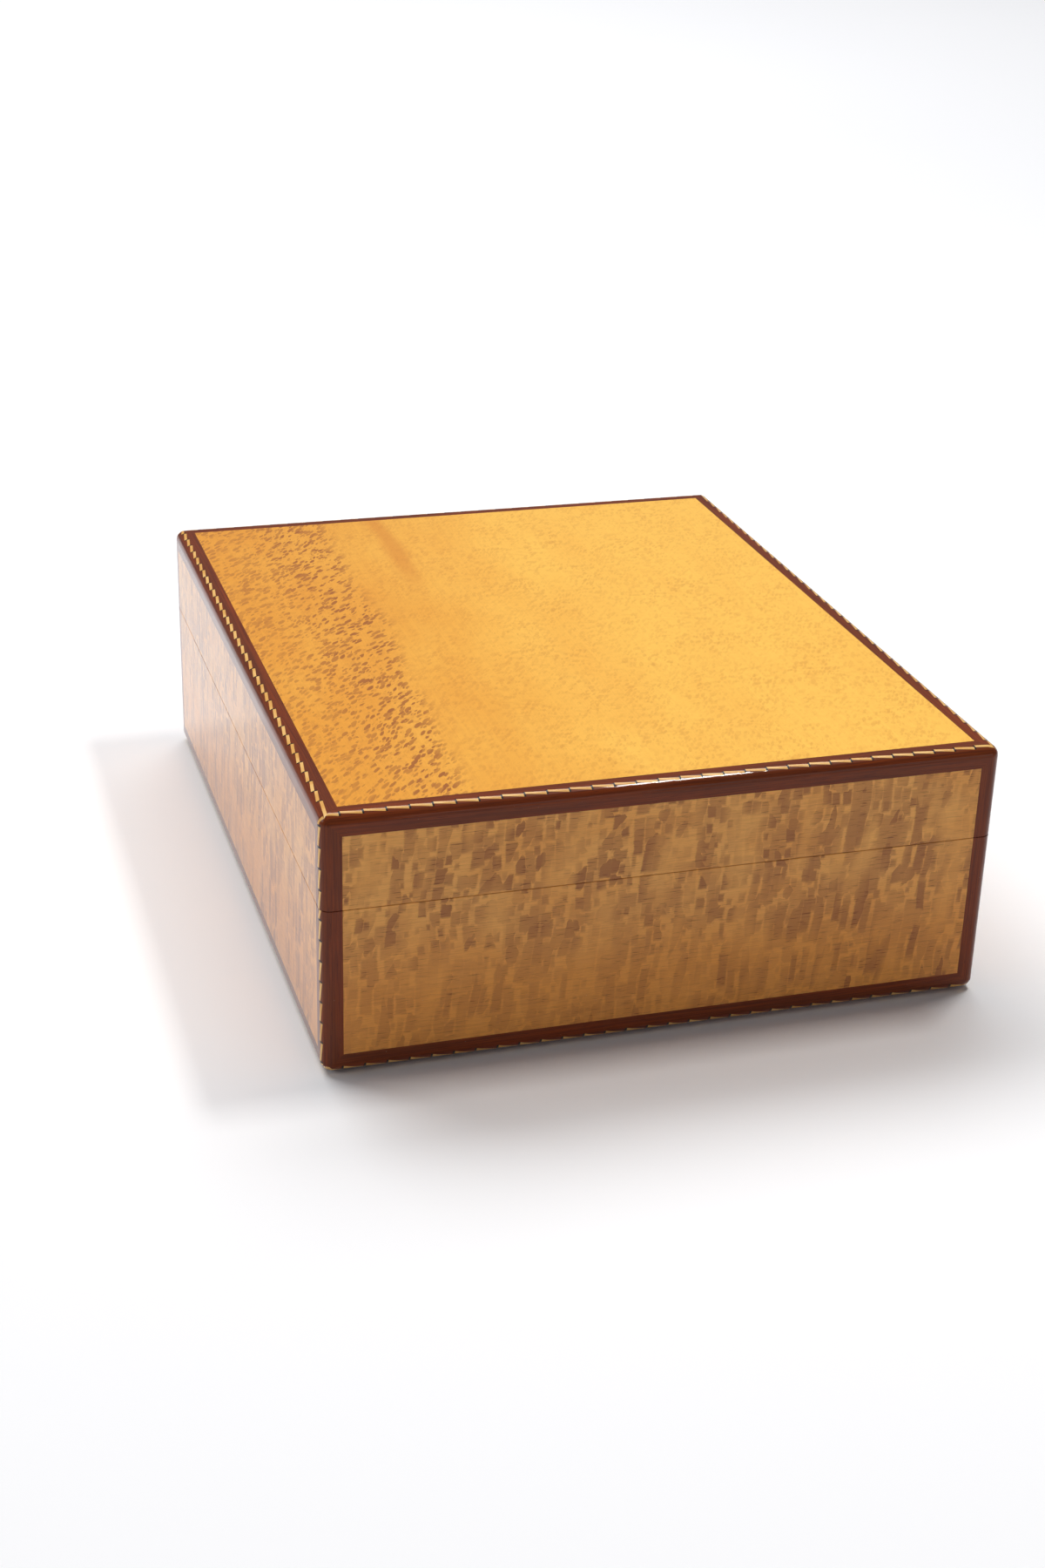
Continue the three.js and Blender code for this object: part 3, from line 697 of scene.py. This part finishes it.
def brass_metal():
    s = bpy.context.scene.box_hinge
    material, nodes, shader = new_material("hinge brass", Metallic=1.0)
    point = point_in_mm(nodes)
    marks = use_group(nodes, "Polish marks", build_polish_marks, {"Vector": point, "Tarnished": 0.4})
    nodes.feed(shader["Base Color"], nodes.mix(marks["Tarnish"], s.brass, s.tarnish))
    nodes.feed(shader["Roughness"], marks["Roughness"])
    nodes.feed(shader["Normal"], bump(nodes, marks["Lines"], 0.15, 0.01 * MM))
    return material


# ---------------------------------------------------------------- shape helpers


def build_smooth_group():
    """Geometry nodes that weld a faceted solid and smooth all but its sharp edges."""
    name = "Smooth by angle"
    if name in bpy.data.node_groups:
        return bpy.data.node_groups[name]
    group = bpy.data.node_groups.new(name, "GeometryNodeTree")
    group.interface.new_socket("Geometry", in_out="INPUT", socket_type="NodeSocketGeometry")
    group.interface.new_socket("Geometry", in_out="OUTPUT", socket_type="NodeSocketGeometry")
    nodes = Nodes(group)
    given = nodes.add("NodeGroupInput").outputs[0]
    welded = nodes.add("GeometryNodeMergeByDistance", {"Geometry": given, "Distance": 0.002 * MM}).outputs[0]
    values = {"Geometry": welded, "Shade Smooth": True}
    smooth = nodes.add("GeometryNodeSetShadeSmooth", values, domain="FACE")
    angle = nodes.add("GeometryNodeInputMeshEdgeAngle").outputs["Unsigned Angle"]
    sharp = nodes.math("GREATER_THAN", angle, math.radians(24))
    values = {"Geometry": smooth.outputs[0], "Selection": sharp, "Shade Smooth": False}
    edges = nodes.add("GeometryNodeSetShadeSmooth", values, domain="EDGE")
    nodes.feed(nodes.add("NodeGroupOutput").inputs[0], edges.outputs[0])
    return group


def smooth_shading(piece, ease=0.0):
    """Rounded stretches shade smoothly and flat faces stay flat; ease rounds the sharp edges a little."""
    weld = piece.modifiers.new("Smooth by angle", "NODES")
    weld.node_group = build_smooth_group()
    if ease > 0.0:
        rounded = piece.modifiers.new("Eased edges", "BEVEL")
        rounded.width = ease
        rounded.segments = 2
        rounded.limit_method = "ANGLE"
        rounded.angle_limit = math.radians(35)
    flat = piece.modifiers.new("Flat faces stay flat", "WEIGHTED_NORMAL")
    flat.keep_sharp = True


def paint(name, material, ease=0.0):
    """Puts a material on a node of the model."""
    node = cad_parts[name]
    node.data.materials.clear()
    node.data.materials.append(material)
    smooth_shading(node, ease)
    return node


def new_piece(name, shape, materials, body):
    """A piece from a bmesh, riding on a body of the model."""
    bmesh.ops.recalc_face_normals(shape, faces=shape.faces)
    mesh = bpy.data.meshes.new(name)
    shape.to_mesh(mesh)
    shape.free()
    for material in materials:
        mesh.materials.append(material)
    piece = bpy.data.objects.new(name, mesh)
    bpy.context.scene.collection.objects.link(piece)
    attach(piece, body)
    return piece


def rounded_depth(a, b):
    """How far the rounded wood lies below a face, at distances a and b in from its two nearest edges."""
    p = max(0.0, EDGE_RADIUS - a)
    q = max(0.0, EDGE_RADIUS - b)
    return EDGE_RADIUS - math.sqrt(max(0.0, EDGE_RADIUS**2 - p * p - q * q))


# ---------------------------------------------------------------- rope stringing

FILLER, TILE, JOINT = range(3)
ROWS = [(FILLER, 2), (TILE, 4), (FILLER, 2)]  # what lies across a strip, and its steps
TILE_STEPS = 4
SHORTEST_TILE = 3.5 * MM


def joint_places(first, last):
    """Joints one pitch apart, from first on, that leave a useful tile before last."""
    s = bpy.context.scene.box_stringing
    places = []
    place = first
    while place < last - SHORTEST_TILE:
        places.append(place)
        place += s.pitch
    return places


def strip_columns(start, joints, end):
    """Stretches of a strip: (material, from, to), where a joint is black right across."""
    half = bpy.context.scene.box_stringing.joint / 2
    columns = []
    place = start
    for joint in joints:
        columns.append((TILE, place, joint - half))
        columns.append((JOINT, joint - half, joint + half))
        place = joint + half
    columns.append((TILE, place, end))
    return columns


def tile_edges(near, t, leans):
    """The two sides of a tile, as distances across a strip that starts at near, at share t of its length."""
    s = bpy.context.scene.box_stringing
    middle = near + ROPE_WIDTH / 2 + leans * s.slant * (0.5 - t)
    return [near, middle - s.tile / 2, middle + s.tile / 2, near + ROPE_WIDTH]


def strip_mesh(columns, near, limits, place, bed, leans):
    """A strip laid along s and across u: place(s, u) is its polished surface, bed(point) the floor below."""
    shape = bmesh.new()
    lines = []
    owners = []
    for kind, start, end in columns:
        steps = TILE_STEPS if kind == TILE else 1
        for i in range(steps + 1):
            if i == 0 and lines:
                continue
            t = i / steps
            sides = tile_edges(near, t if kind == TILE else (0.0 if i else 1.0), leans)
            across = [near]
            for (low, high), (_, count) in zip(zip(sides, sides[1:]), ROWS):
                across += [low + (high - low) * (k + 1) / count for k in range(count)]
            line = []
            for u in across:
                first, last = limits(u)
                s = min(max(start + (end - start) * t, first), last)
                line.append(place(s, u))
            lines.append(line)
            if i:
                owners.append(kind)
    rows = [kind for kind, count in ROWS for _ in range(count)]
    verts = [[shape.verts.new(p) for p in line] for line in lines]
    for i, owner in enumerate(owners):
        for k, row in enumerate(rows):
            corners = [verts[i][k], verts[i + 1][k], verts[i + 1][k + 1], verts[i][k + 1]]
            if (corners[0].co - corners[1].co).length + (corners[2].co - corners[3].co).length < 1e-8:
                continue
            face = shape.faces.new(corners)
            face.material_index = JOINT if owner == JOINT else row
            face.smooth = True
    rim = verts[0] + [line[-1] for line in verts[1:]] + verts[-1][-2::-1]
    rim += [line[0] for line in verts[-2:0:-1]]
    sunk = [shape.verts.new(bed(v.co)) for v in rim]
    for i in range(len(rim)):
        j = (i + 1) % len(rim)
        face = shape.faces.new([rim[j], rim[i], sunk[i], sunk[j]])
        face.material_index = FILLER
    shape.faces.new(sunk)
    bmesh.ops.remove_doubles(shape, verts=shape.verts, dist=1e-7)
    return shape


def cut_off(shape, point, outward):
    """Cut a strip off flat at a plane and close the cut."""
    parts = shape.verts[:] + shape.edges[:] + shape.faces[:]
    done = bmesh.ops.bisect_plane(shape, geom=parts, plane_co=point, plane_no=outward, clear_outer=True)
    edges = [part for part in done["geom_cut"] if isinstance(part, bmesh.types.BMEdge)]
    for face in bmesh.ops.holes_fill(shape, edges=edges, sides=0)["faces"]:
        face.material_index = FILLER


def ring_strip(level, side):
    """One side of the ring in the top (level 1) or in the underside (level -1)."""
    s = bpy.context.scene.box_stringing
    along_x = side in SIDES
    way = (SIDES if along_x else ENDS)[side]
    long_half = HALF_LENGTH if along_x else HALF_DEPTH
    deep_half = HALF_DEPTH if along_x else HALF_LENGTH
    rightward = -way if along_x else way  # left to right, as seen from outside
    full = 2 * long_half
    near = ROPE_NEAR if level > 0 else BASE_ROPE_NEAR

    def place(distance, u):
        depth = rounded_depth(u, min(distance, full - distance))
        run = rightward * (distance - long_half)
        out = way * (deep_half - u)
        z = TOP - depth if level > 0 else UNDERSIDE + depth
        return Vector((run, out, z) if along_x else (out, run, z))

    def bed(point):
        return Vector((point.x, point.y, TOP - ROPE_BED if level > 0 else UNDERSIDE + BASE_ROPE_BED))

    def start(u):
        """Where the strip starts: at the mitre, or below where its bed comes out on the rounded corner."""
        if level > 0:
            return u
        left = EDGE_RADIUS**2 - (EDGE_RADIUS - BASE_ROPE_BED) ** 2 - (EDGE_RADIUS - u) ** 2
        return max(u, EDGE_RADIUS - math.sqrt(max(0.0, left)))

    columns = strip_columns(0.0, joint_places(s.first_joint, full - s.first_joint + s.pitch / 2), full)
    return strip_mesh(columns, near, lambda u: (start(u), full - start(u)), place, bed, level)


def corner_strip(level, sx, sy):
    """The strip up one corner of the lid (level 1) or the case (level -1), on the long face."""
    s = bpy.context.scene.box_stringing
    rim = LID_RIM if level > 0 else CASE_RIM
    full = (TOP - rim) if level > 0 else (rim - UNDERSIDE)
    bed_y = sy * (HALF_DEPTH - ROPE_NEAR)

    def end_at_ring(u):
        """Where the strip meets the ring, which starts a little way in from the long face."""
        if level > 0:
            return rounded_depth(u, ROPE_NEAR)
        left = EDGE_RADIUS**2 - (EDGE_RADIUS - u) ** 2 - (EDGE_RADIUS - BASE_ROPE_NEAR) ** 2
        return min(BASE_ROPE_BED, EDGE_RADIUS - math.sqrt(max(0.0, left)))

    def place(distance, u):
        v = rounded_depth(u, distance)
        z = TOP - distance if level > 0 else UNDERSIDE + distance
        return Vector((sx * (HALF_LENGTH - u), sy * (HALF_DEPTH - v), z))

    def bed(point):
        return Vector((point.x, bed_y, point.z))

    columns = strip_columns(0.0, joint_places(s.corner_joint, full), full)
    shape = strip_mesh(columns, ROPE_NEAR, lambda u: (end_at_ring(u), full), place, bed, level * sx * sy)
    if sy > 0:
        deep, high = SEAM_BEVELS[level]
        start = Vector((0.0, HALF_DEPTH - deep, rim))
        cut_off(shape, start, Vector((0.0, high, -level * deep)).normalized())
    return shape


class BOX_OT_stringing(bpy.types.Operator):
    """Inlay the rope stringing: four strips in the top, four in the underside and eight up the corners."""

    bl_idname = "box.stringing"
    bl_label = "Inlay the stringing"

    def execute(self, context):
        joint = joint_wood()
        tiles = {order: tile_wood(order) for order in ("XYZ", "YXZ", "ZXY")}
        fillers = {order: bpy.data.materials["dark banding, along " + order[0]] for order in tiles}
        for level, body, node in ((1, "lid", "lid_rope_ring"), (-1, "case", "base_rope_ring")):
            for side in [*SIDES, *ENDS]:
                order = "XYZ" if side in SIDES else "YXZ"
                name = ("top" if level > 0 else "base") + "_stringing_" + side
                materials = [fillers[order], tiles[order], joint]
                strip = new_piece(name, ring_strip(level, side), materials, body)
                smooth_shading(strip)
                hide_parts(node)
        for level, body in ((1, "lid"), (-1, "case")):
            for side, sy in SIDES.items():
                for end, sx in ENDS.items():
                    name = f"{body}_corner_stringing_{side}_{end}"
                    materials = [fillers["ZXY"], tiles["ZXY"], joint]
                    shape = corner_strip(level, sx, sy)
                    strip = new_piece(name, shape, materials, body)
                    smooth_shading(strip)
                    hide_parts(f"{body}_corner_rope_{side}_{end}")
        return {"FINISHED"}


# ---------------------------------------------------------------- veneers, banding and carcass


class BOX_OT_veneers(bpy.types.Operator):
    """Lay the figured veneer on the top and on the four faces of the case and the lid."""

    bl_idname = "box.veneers"
    bl_label = "Lay the veneers"

    def execute(self, context):
        paint("lid_top_veneer", top_veneer())
        faces = {
            "right": ("YZX", 0.0, 0.38),
            "left": ("YZX", 310.0, -0.30),
            "front": ("XZY", 700.0, 0.45),
            "back": ("XZY", 1100.0, -0.35),
        }
        for face, (order, seed, lean) in faces.items():
            material = face_veneer(face, order, seed, lean)
            for half in ("case", "lid"):
                paint(f"{half}_veneer_{face}", material)
        return {"FINISHED"}


class BOX_OT_banding(bpy.types.Operator):
    """Band every edge with dark hardwood, its grain along each strip."""

    bl_idname = "box.banding"
    bl_label = "Band the edges"

    def execute(self, context):
        along = {
            order[0]: banding_wood("along " + order[0], order, 90.0 * i)
            for i, order in enumerate(("XYZ", "YXZ", "ZXY"))
        }
        for edge in ("base", "lid"):
            for side in SIDES:
                paint(f"{edge}_band_{side}", along["X"])
            for end in ENDS:
                paint(f"{edge}_band_{end}", along["Y"])
        for half in ("case", "lid"):
            for side in SIDES:
                for end in ENDS:
                    paint(f"{half}_corner_band_{side}_{end}", along["Z"])
        return {"FINISHED"}


class BOX_OT_carcass(bpy.types.Operator):
    """Finish the carcass boards and panels behind the veneer."""

    bl_idname = "box.carcass"
    bl_label = "Finish the carcass"

    def execute(self, context):
        s = context.scene.box_carcass
        along_x = board_wood("carcass wood, along X", "XZY", s.colour, s.dark, 0.5)
        along_y = board_wood("carcass wood, along Y", "YZX", s.colour, s.dark, 0.5)
        panel = board_wood("carcass panel", "XYZ", s.colour, s.dark, 0.5, 1.1)
        for half in ("case", "lid"):
            for side in SIDES:
                paint(f"{half}_wall_{side}", along_x)
            for end in ENDS:
                paint(f"{half}_wall_{end}", along_y)
        paint("case_base_panel", panel)
        paint("lid_top_panel", panel)
        return {"FINISHED"}


# ---------------------------------------------------------------- lining and felt


def lining_board(side, ease):
    """One mitred board of the lining frame, chamfered outside at its top, with eased edges."""
    low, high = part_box("case_lining_frame")
    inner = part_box("case_floor_pad")[1]
    pad_room = 0.3 * MM
    thick = high.x - (inner.x + pad_room)
    chamfer = 0.8 * MM
    hairline = 0.02 * MM
    along_x = side in SIDES
    way = (SIDES if along_x else ENDS)[side]
    long_half, deep_half = (high.x, high.y) if along_x else (high.y, high.x)
    profile = [
        (0.0, low.z),
        (0.0, high.z - chamfer),
        (chamfer, high.z),
        (thick, high.z),
        (thick, low.z),
    ]
    shape = bmesh.new()
    rings = []
    for end in (-1, 1):
        ring = []
        for u, z in profile:
            run = end * (long_half - u - hairline)
            out = way * (deep_half - u)
            ring.append(shape.verts.new((run, out, z) if along_x else (out, run, z)))
        rings.append(ring)
    shape.faces.new(rings[0])
    shape.faces.new(rings[1][::-1])
    for i in range(len(profile)):
        j = (i + 1) % len(profile)
        shape.faces.new([rings[0][i], rings[0][j], rings[1][j], rings[1][i]])
    upper = [e for e in shape.edges if all(v.co.z > low.z + ease for v in e.verts)]
    bmesh.ops.bevel(shape, geom=upper, offset=ease, segments=3, profile=0.5, affect="EDGES")
    return shape


PAD_STEPS = 56
FELT_STEPS = 40
FELT_EDGE = 0.9 * MM
DIMPLES = 14
DIMPLE_DEPTH = 0.05 * MM
SHOULDER_START = 0.35  # share of a pad's thickness at which its rounded edge begins


def pad_mesh(low, high, edge, crown, soft_side, steps, seed):
    """A flat pad with a rounded edge, a slight crown and the small unevenness of stretched cloth."""
    rng = random.Random(seed)
    dimples = [
        (rng.uniform(low.x, high.x), rng.uniform(low.y, high.y), rng.uniform(10, 30) * MM)
        for _ in range(DIMPLES)
    ]
    middle = (low + high) / 2
    half = (high - low) / 2
    thick = high.z - low.z
    hard_z = low.z if soft_side > 0 else high.z

    def spaced(count, reach):
        """Positions across a pad, closer together near its edges."""
        return [reach * math.sin(math.pi / 2 * (2 * i / count - 1)) for i in range(count + 1)]

    def surface(x, y):
        inset = min(half.x - abs(x), half.y - abs(y))
        t = min(1.0, max(0.0, inset) / edge)
        shoulder = math.sqrt(max(0.0, 1 - (1 - t) ** 2))
        dome = (1 - (x / half.x) ** 4) * (1 - (y / half.y) ** 4)
        dent = sum(
            math.exp(-((x + middle.x - a) ** 2 + (y + middle.y - b) ** 2) / (2 * r * r))
            for a, b, r in dimples
        )
        body = thick - crown * (1 - dome) - DIMPLE_DEPTH * dent
        begin = SHOULDER_START * thick
        rise = begin + (body - begin) * shoulder
        return hard_z + soft_side * min(rise, thick)

    shape = bmesh.new()
    xs, ys = spaced(steps, half.x), spaced(steps, half.y)
    top = [[shape.verts.new((middle.x + x, middle.y + y, surface(x, y))) for y in ys] for x in xs]
    for i in range(steps):
        for j in range(steps):
            face = shape.faces.new([top[i][j], top[i + 1][j], top[i + 1][j + 1], top[i][j + 1]])
            face.smooth = True
    rim = (
        [top[i][0] for i in range(steps + 1)]
        + top[-1][1:]
        + [top[i][-1] for i in range(steps - 1, -1, -1)]
        + top[0][-2:0:-1]
    )
    under = [shape.verts.new((v.co.x, v.co.y, hard_z)) for v in rim]
    for i in range(len(rim)):
        j = (i + 1) % len(rim)
        shape.faces.new([rim[i], rim[j], under[j], under[i]])
    shape.faces.new(under)
    return shape


class BOX_OT_lining(bpy.types.Operator):
    """Line the inside: a mitred hardwood frame, a suede floor pad and a suede panel in the lid."""

    bl_idname = "box.lining"
    bl_label = "Line the inside"

    def execute(self, context):
        s = context.scene.box_lining
        dark = tuple(c * 0.35 for c in s.frame_colour)
        for side in [*SIDES, *ENDS]:
            order = "XZY" if side in SIDES else "YZX"
            name = "lining wood, along " + order[0]
            wood = bpy.data.materials.get(name) or board_wood(name, order, s.frame_colour, dark, 0.28, 0.5)
            shape = lining_board(side, s.ease)
            board = new_piece("lining_board_" + side, shape, [wood], "case")
            smooth_shading(board)
            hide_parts("case_lining_frame")
        suede = napped_cloth("suede", s.suede, 0.22, 22.0, 0.35, 0.12 * MM)
        low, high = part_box("case_floor_pad")
        shape = pad_mesh(low, high, s.edge, s.crown, 1, PAD_STEPS, 3)
        pad = new_piece("floor_pad", shape, [suede], "case")
        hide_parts("case_floor_pad")
        low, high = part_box("lid_lining_panel")
        shape = pad_mesh(low, high, s.edge * 0.7, s.crown * 0.6, -1, PAD_STEPS, 4)
        panel = new_piece("lid_lining", shape, [suede], "lid")
        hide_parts("lid_lining_panel")
        for piece in (pad, panel):
            smooth_shading(piece)
        return {"FINISHED"}


class BOX_OT_felt(bpy.types.Operator):
    """Glue the felt into the underside."""

    bl_idname = "box.felt"
    bl_label = "Glue on the felt"

    def execute(self, context):
        s = context.scene.box_felt
        low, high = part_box("base_felt")
        felt = napped_cloth("felt", s.colour, 0.35, 9.0, 0.5, 0.2 * MM)
        shape = pad_mesh(low, high, FELT_EDGE, 0.0, -1, FELT_STEPS, 5)
        for vert in shape.verts:
            vert.co.z = max(vert.co.z, low.z)
        piece = new_piece("felt_sheet", shape, [felt], "case")
        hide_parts("base_felt")
        smooth_shading(piece)
        return {"FINISHED"}


# ---------------------------------------------------------------- hinge


def screw_mesh(name, facets):
    """A slotted countersunk screw on a node's place, as a bmesh with its head outwards."""
    low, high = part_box(name)
    middle = (low + high) / 2
    radius = (high.x - low.x) / 2
    up = 1 if name.startswith("hinge_screw_case") else -1
    head_z = high.z if up > 0 else low.z
    deep = high.z - low.z
    shank = 0.53 * radius
    cone = 0.9 * MM
    slot_wide, slot_deep = 0.42 * MM, 0.45 * MM
    rounding = 0.12 * MM
    profile = [(0.0, 0.0), (radius - rounding, 0.0), (radius, rounding), (shank, cone)]
    profile += [(shank, deep - shank), (0.0, deep)]
    shape = bmesh.new()
    rings = []
    for r, z in profile:
        count = facets if r else 1
        ring = []
        for i in range(count):
            angle = 2 * math.pi * i / facets
            ring.append(shape.verts.new((r * math.cos(angle), r * math.sin(angle), -z)))
        rings.append(ring)
    for a, b in zip(rings, rings[1:]):
        for i in range(facets):
            j = (i + 1) % facets
            corners = [a[i % len(a)], a[j % len(a)], b[j % len(b)], b[i % len(b)]]
            shape.faces.new(list(dict.fromkeys(corners)))
    for side in (-1, 1):
        geometry = shape.verts[:] + shape.edges[:] + shape.faces[:]
        plane = (0.0, side * slot_wide / 2, 0.0)
        bmesh.ops.bisect_plane(shape, geom=geometry, plane_co=plane, plane_no=(0.0, 1.0, 0.0))
    tiny = 0.001 * MM
    inside = [
        f for f in shape.faces
        if f.calc_center_median().z > -tiny and abs(f.calc_center_median().y) < slot_wide / 2 - tiny
    ]
    sunk = bmesh.ops.extrude_face_region(shape, geom=inside)["geom"]
    bmesh.ops.delete(shape, geom=inside, context="FACES_ONLY")
    bmesh.ops.translate(
        shape, verts=[v for v in sunk if isinstance(v, bmesh.types.BMVert)], vec=(0.0, 0.0, -slot_deep)
    )
    turn = random.Random(name).uniform(0, math.pi)
    place = Matrix.Translation((middle.x, middle.y, head_z)) @ Matrix.Rotation(turn, 4, "Z")
    if up < 0:
        place = place @ Matrix.Rotation(math.pi, 4, "X")
    bmesh.ops.transform(shape, matrix=place, verts=shape.verts)
    return shape


class BOX_OT_hinge(bpy.types.Operator):
    """Polish the long brass hinge and drive its screws."""

    bl_idname = "box.hinge"
    bl_label = "Fit the hinge"

    def execute(self, context):
        s = context.scene.box_hinge
        brass = brass_metal()
        for node in ("hinge_leaf_case", "hinge_leaf_lid"):
            paint(node, brass, s.edge)
        paint("hinge_pin", brass)
        screws = [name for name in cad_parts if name.startswith("hinge_screw")]
        if not screws:
            raise RuntimeError("the model has no hinge screws")
        for name in sorted(screws):
            body = "case" if "_case_" in name else "lid"
            label = name.replace("hinge_screw", "slotted_screw")
            screw = new_piece(label, screw_mesh(name, s.facets), [brass], body)
            smooth_shading(screw)
            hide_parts(name)
        return {"FINISHED"}


# ---------------------------------------------------------------- stage

WHITE = (1.0, 1.0, 1.0)
MIDDLE = (0.0, 0.0, TOP / 2)

# Each light: its name, place, aim, size, watts and tint.
LIGHTS = [
    ("high window", (-0.04, 0.431, 1.30), (-0.04, 0.431, 0.0), (0.25, 0.13), 6.6, (1.0, 0.98, 0.95)),
    ("main softbox", (-2.40, -1.40, 3.80), MIDDLE, (2.6, 2.0), 122.0, WHITE),
    ("left softbox", (-0.20, -2.20, 1.00), MIDDLE, (1.4, 0.8), 12.0, WHITE),
    ("far softbox", (-3.20, 1.10, 4.20), (-3.20, 1.10, 0.0), (3.0, 3.0), 115.0, WHITE),
    ("end softbox", (1.90, 0.90, 0.45), MIDDLE, (1.2, 0.6), 2.5, (1.0, 0.98, 0.96)),
]


def add_area_light(name, place, aim, size, watts, tint):
    light = bpy.data.lights.new(name, "AREA")
    light.shape = "RECTANGLE"
    light.size, light.size_y = size
    light.energy = watts
    light.color = tint
    lamp = bpy.data.objects.new(name, light)
    lamp.location = place
    lamp.rotation_mode = "QUATERNION"
    lamp.rotation_quaternion = (Vector(aim) - Vector(place)).to_track_quat("-Z", "Y")
    bpy.context.scene.collection.objects.link(lamp)


def add_floor(size, tint):
    """A plain floor, seen from above only. Bounced light passes through it within 3 mm of a surface."""
    mesh = bpy.data.meshes.new("floor")
    half = size / 2
    corners = [(-half, -half, 0), (half, -half, 0), (half, half, 0), (-half, half, 0)]
    mesh.from_pydata(corners, [], [(0, 1, 2, 3)])
    floor = bpy.data.objects.new("floor", mesh)
    bpy.context.scene.collection.objects.link(floor)
    material, nodes, shader = new_material("pale floor", IOR=1.4, Roughness=0.75)
    cloudy = nodes.noise(nodes.stretch(object_point(nodes), (1.2, 1.2, 1.2)), 2.0)
    nodes.feed(shader["Base Color"], nodes.mix(cloudy, tint, tuple(c * 0.97 for c in tint)))
    below = nodes.add("ShaderNodeNewGeometry").outputs["Backfacing"]
    path = nodes.add("ShaderNodeLightPath").outputs
    touching = nodes.math("LESS_THAN", path["Ray Length"], 3 * MM)
    touching = nodes.times(touching, path["Is Diffuse Ray"])
    seen_below = nodes.math("MAXIMUM", below, touching)
    surface = next(n for n in material.node_tree.nodes if n.type == "BSDF_PRINCIPLED").outputs["BSDF"]
    clear = nodes.add("ShaderNodeBsdfTransparent").outputs[0]
    choice = nodes.add("ShaderNodeMixShader", {0: seen_below, 1: surface, 2: clear}).outputs[0]
    output = next(n for n in material.node_tree.nodes if n.type == "OUTPUT_MATERIAL")
    nodes.feed(output.inputs["Surface"], choice)
    mesh.materials.append(material)


def add_room(room, beyond):
    """A dim room for the lacquer to reflect, with a pale backdrop where it is looked at directly."""
    world = bpy.data.worlds.new("room")
    world.use_nodes = True
    world.node_tree.nodes.clear()
    nodes = Nodes(world.node_tree)
    looked_at = nodes.add("ShaderNodeLightPath").outputs["Is Camera Ray"]
    background = nodes.add("ShaderNodeBackground", {"Color": nodes.mix(looked_at, room, beyond)})
    nodes.feed(nodes.add("ShaderNodeOutputWorld").inputs["Surface"], background.outputs[0])
    bpy.context.scene.world = world


def add_camera(s):
    camera = bpy.data.cameras.new("camera")
    camera.sensor_width = 36.0
    camera.lens = s.lens
    camera.clip_start, camera.clip_end = 0.01, 50.0
    holder = bpy.data.objects.new("camera", camera)
    level = math.cos(s.height)
    back = Vector((math.sin(s.heading) * level, -math.cos(s.heading) * level, math.sin(s.height)))
    holder.location = s.camera
    holder.rotation_mode = "QUATERNION"
    holder.rotation_quaternion = (-back).to_track_quat("-Z", "Y") @ Quaternion((0, 0, 1), s.roll)
    bpy.context.scene.collection.objects.link(holder)
    bpy.context.scene.camera = holder


class BOX_OT_stage(bpy.types.Operator):
    """Set the pale floor, the soft lights, the dim room and the camera."""

    bl_idname = "box.stage"
    bl_label = "Set the stage"

    def execute(self, context):
        s = context.scene.box_stage
        add_floor(s.floor_size, s.floor)
        add_room(s.room, s.beyond)
        for light in LIGHTS:
            add_area_light(*light)
        add_camera(s)
        context.scene.view_settings.view_transform = "Standard"
        return {"FINISHED"}


# ---------------------------------------------------------------- add-on


OPERATORS = [
    BOX_OT_veneers,
    BOX_OT_banding,
    BOX_OT_stringing,
    BOX_OT_carcass,
    BOX_OT_lining,
    BOX_OT_felt,
    BOX_OT_hinge,
    BOX_OT_stage,
]


class BOX_PT_workshop(bpy.types.Panel):
    """The box's steps in the order that they are done, with their sizes and colours."""

    bl_label = "Inlaid box"
    bl_idname = "BOX_PT_workshop"
    bl_space_type = "VIEW_3D"
    bl_region_type = "UI"
    bl_category = "Inlaid Box"

    def draw(self, context):
        for operator in OPERATORS:
            self.layout.operator(operator.bl_idname)
        for name, settings in SETTINGS.items():
            section = self.layout.box()
            section.label(text=settings.__doc__)
            for key in settings.__annotations__:
                section.prop(getattr(context.scene, name), key)


def register():
    for kind in [*SETTINGS.values(), *OPERATORS, BOX_PT_workshop]:
        bpy.utils.register_class(kind)
    for name, kind in SETTINGS.items():
        setattr(bpy.types.Scene, name, PointerProperty(type=kind))


def unregister():
    for name in SETTINGS:
        delattr(bpy.types.Scene, name)
    for kind in reversed([*SETTINGS.values(), *OPERATORS, BOX_PT_workshop]):
        bpy.utils.unregister_class(kind)


def main():
    register()
    for operator in OPERATORS:
        _, step = operator.bl_idname.split(".")
        getattr(bpy.ops.box, step)()


if __name__ == "__main__":
    main()
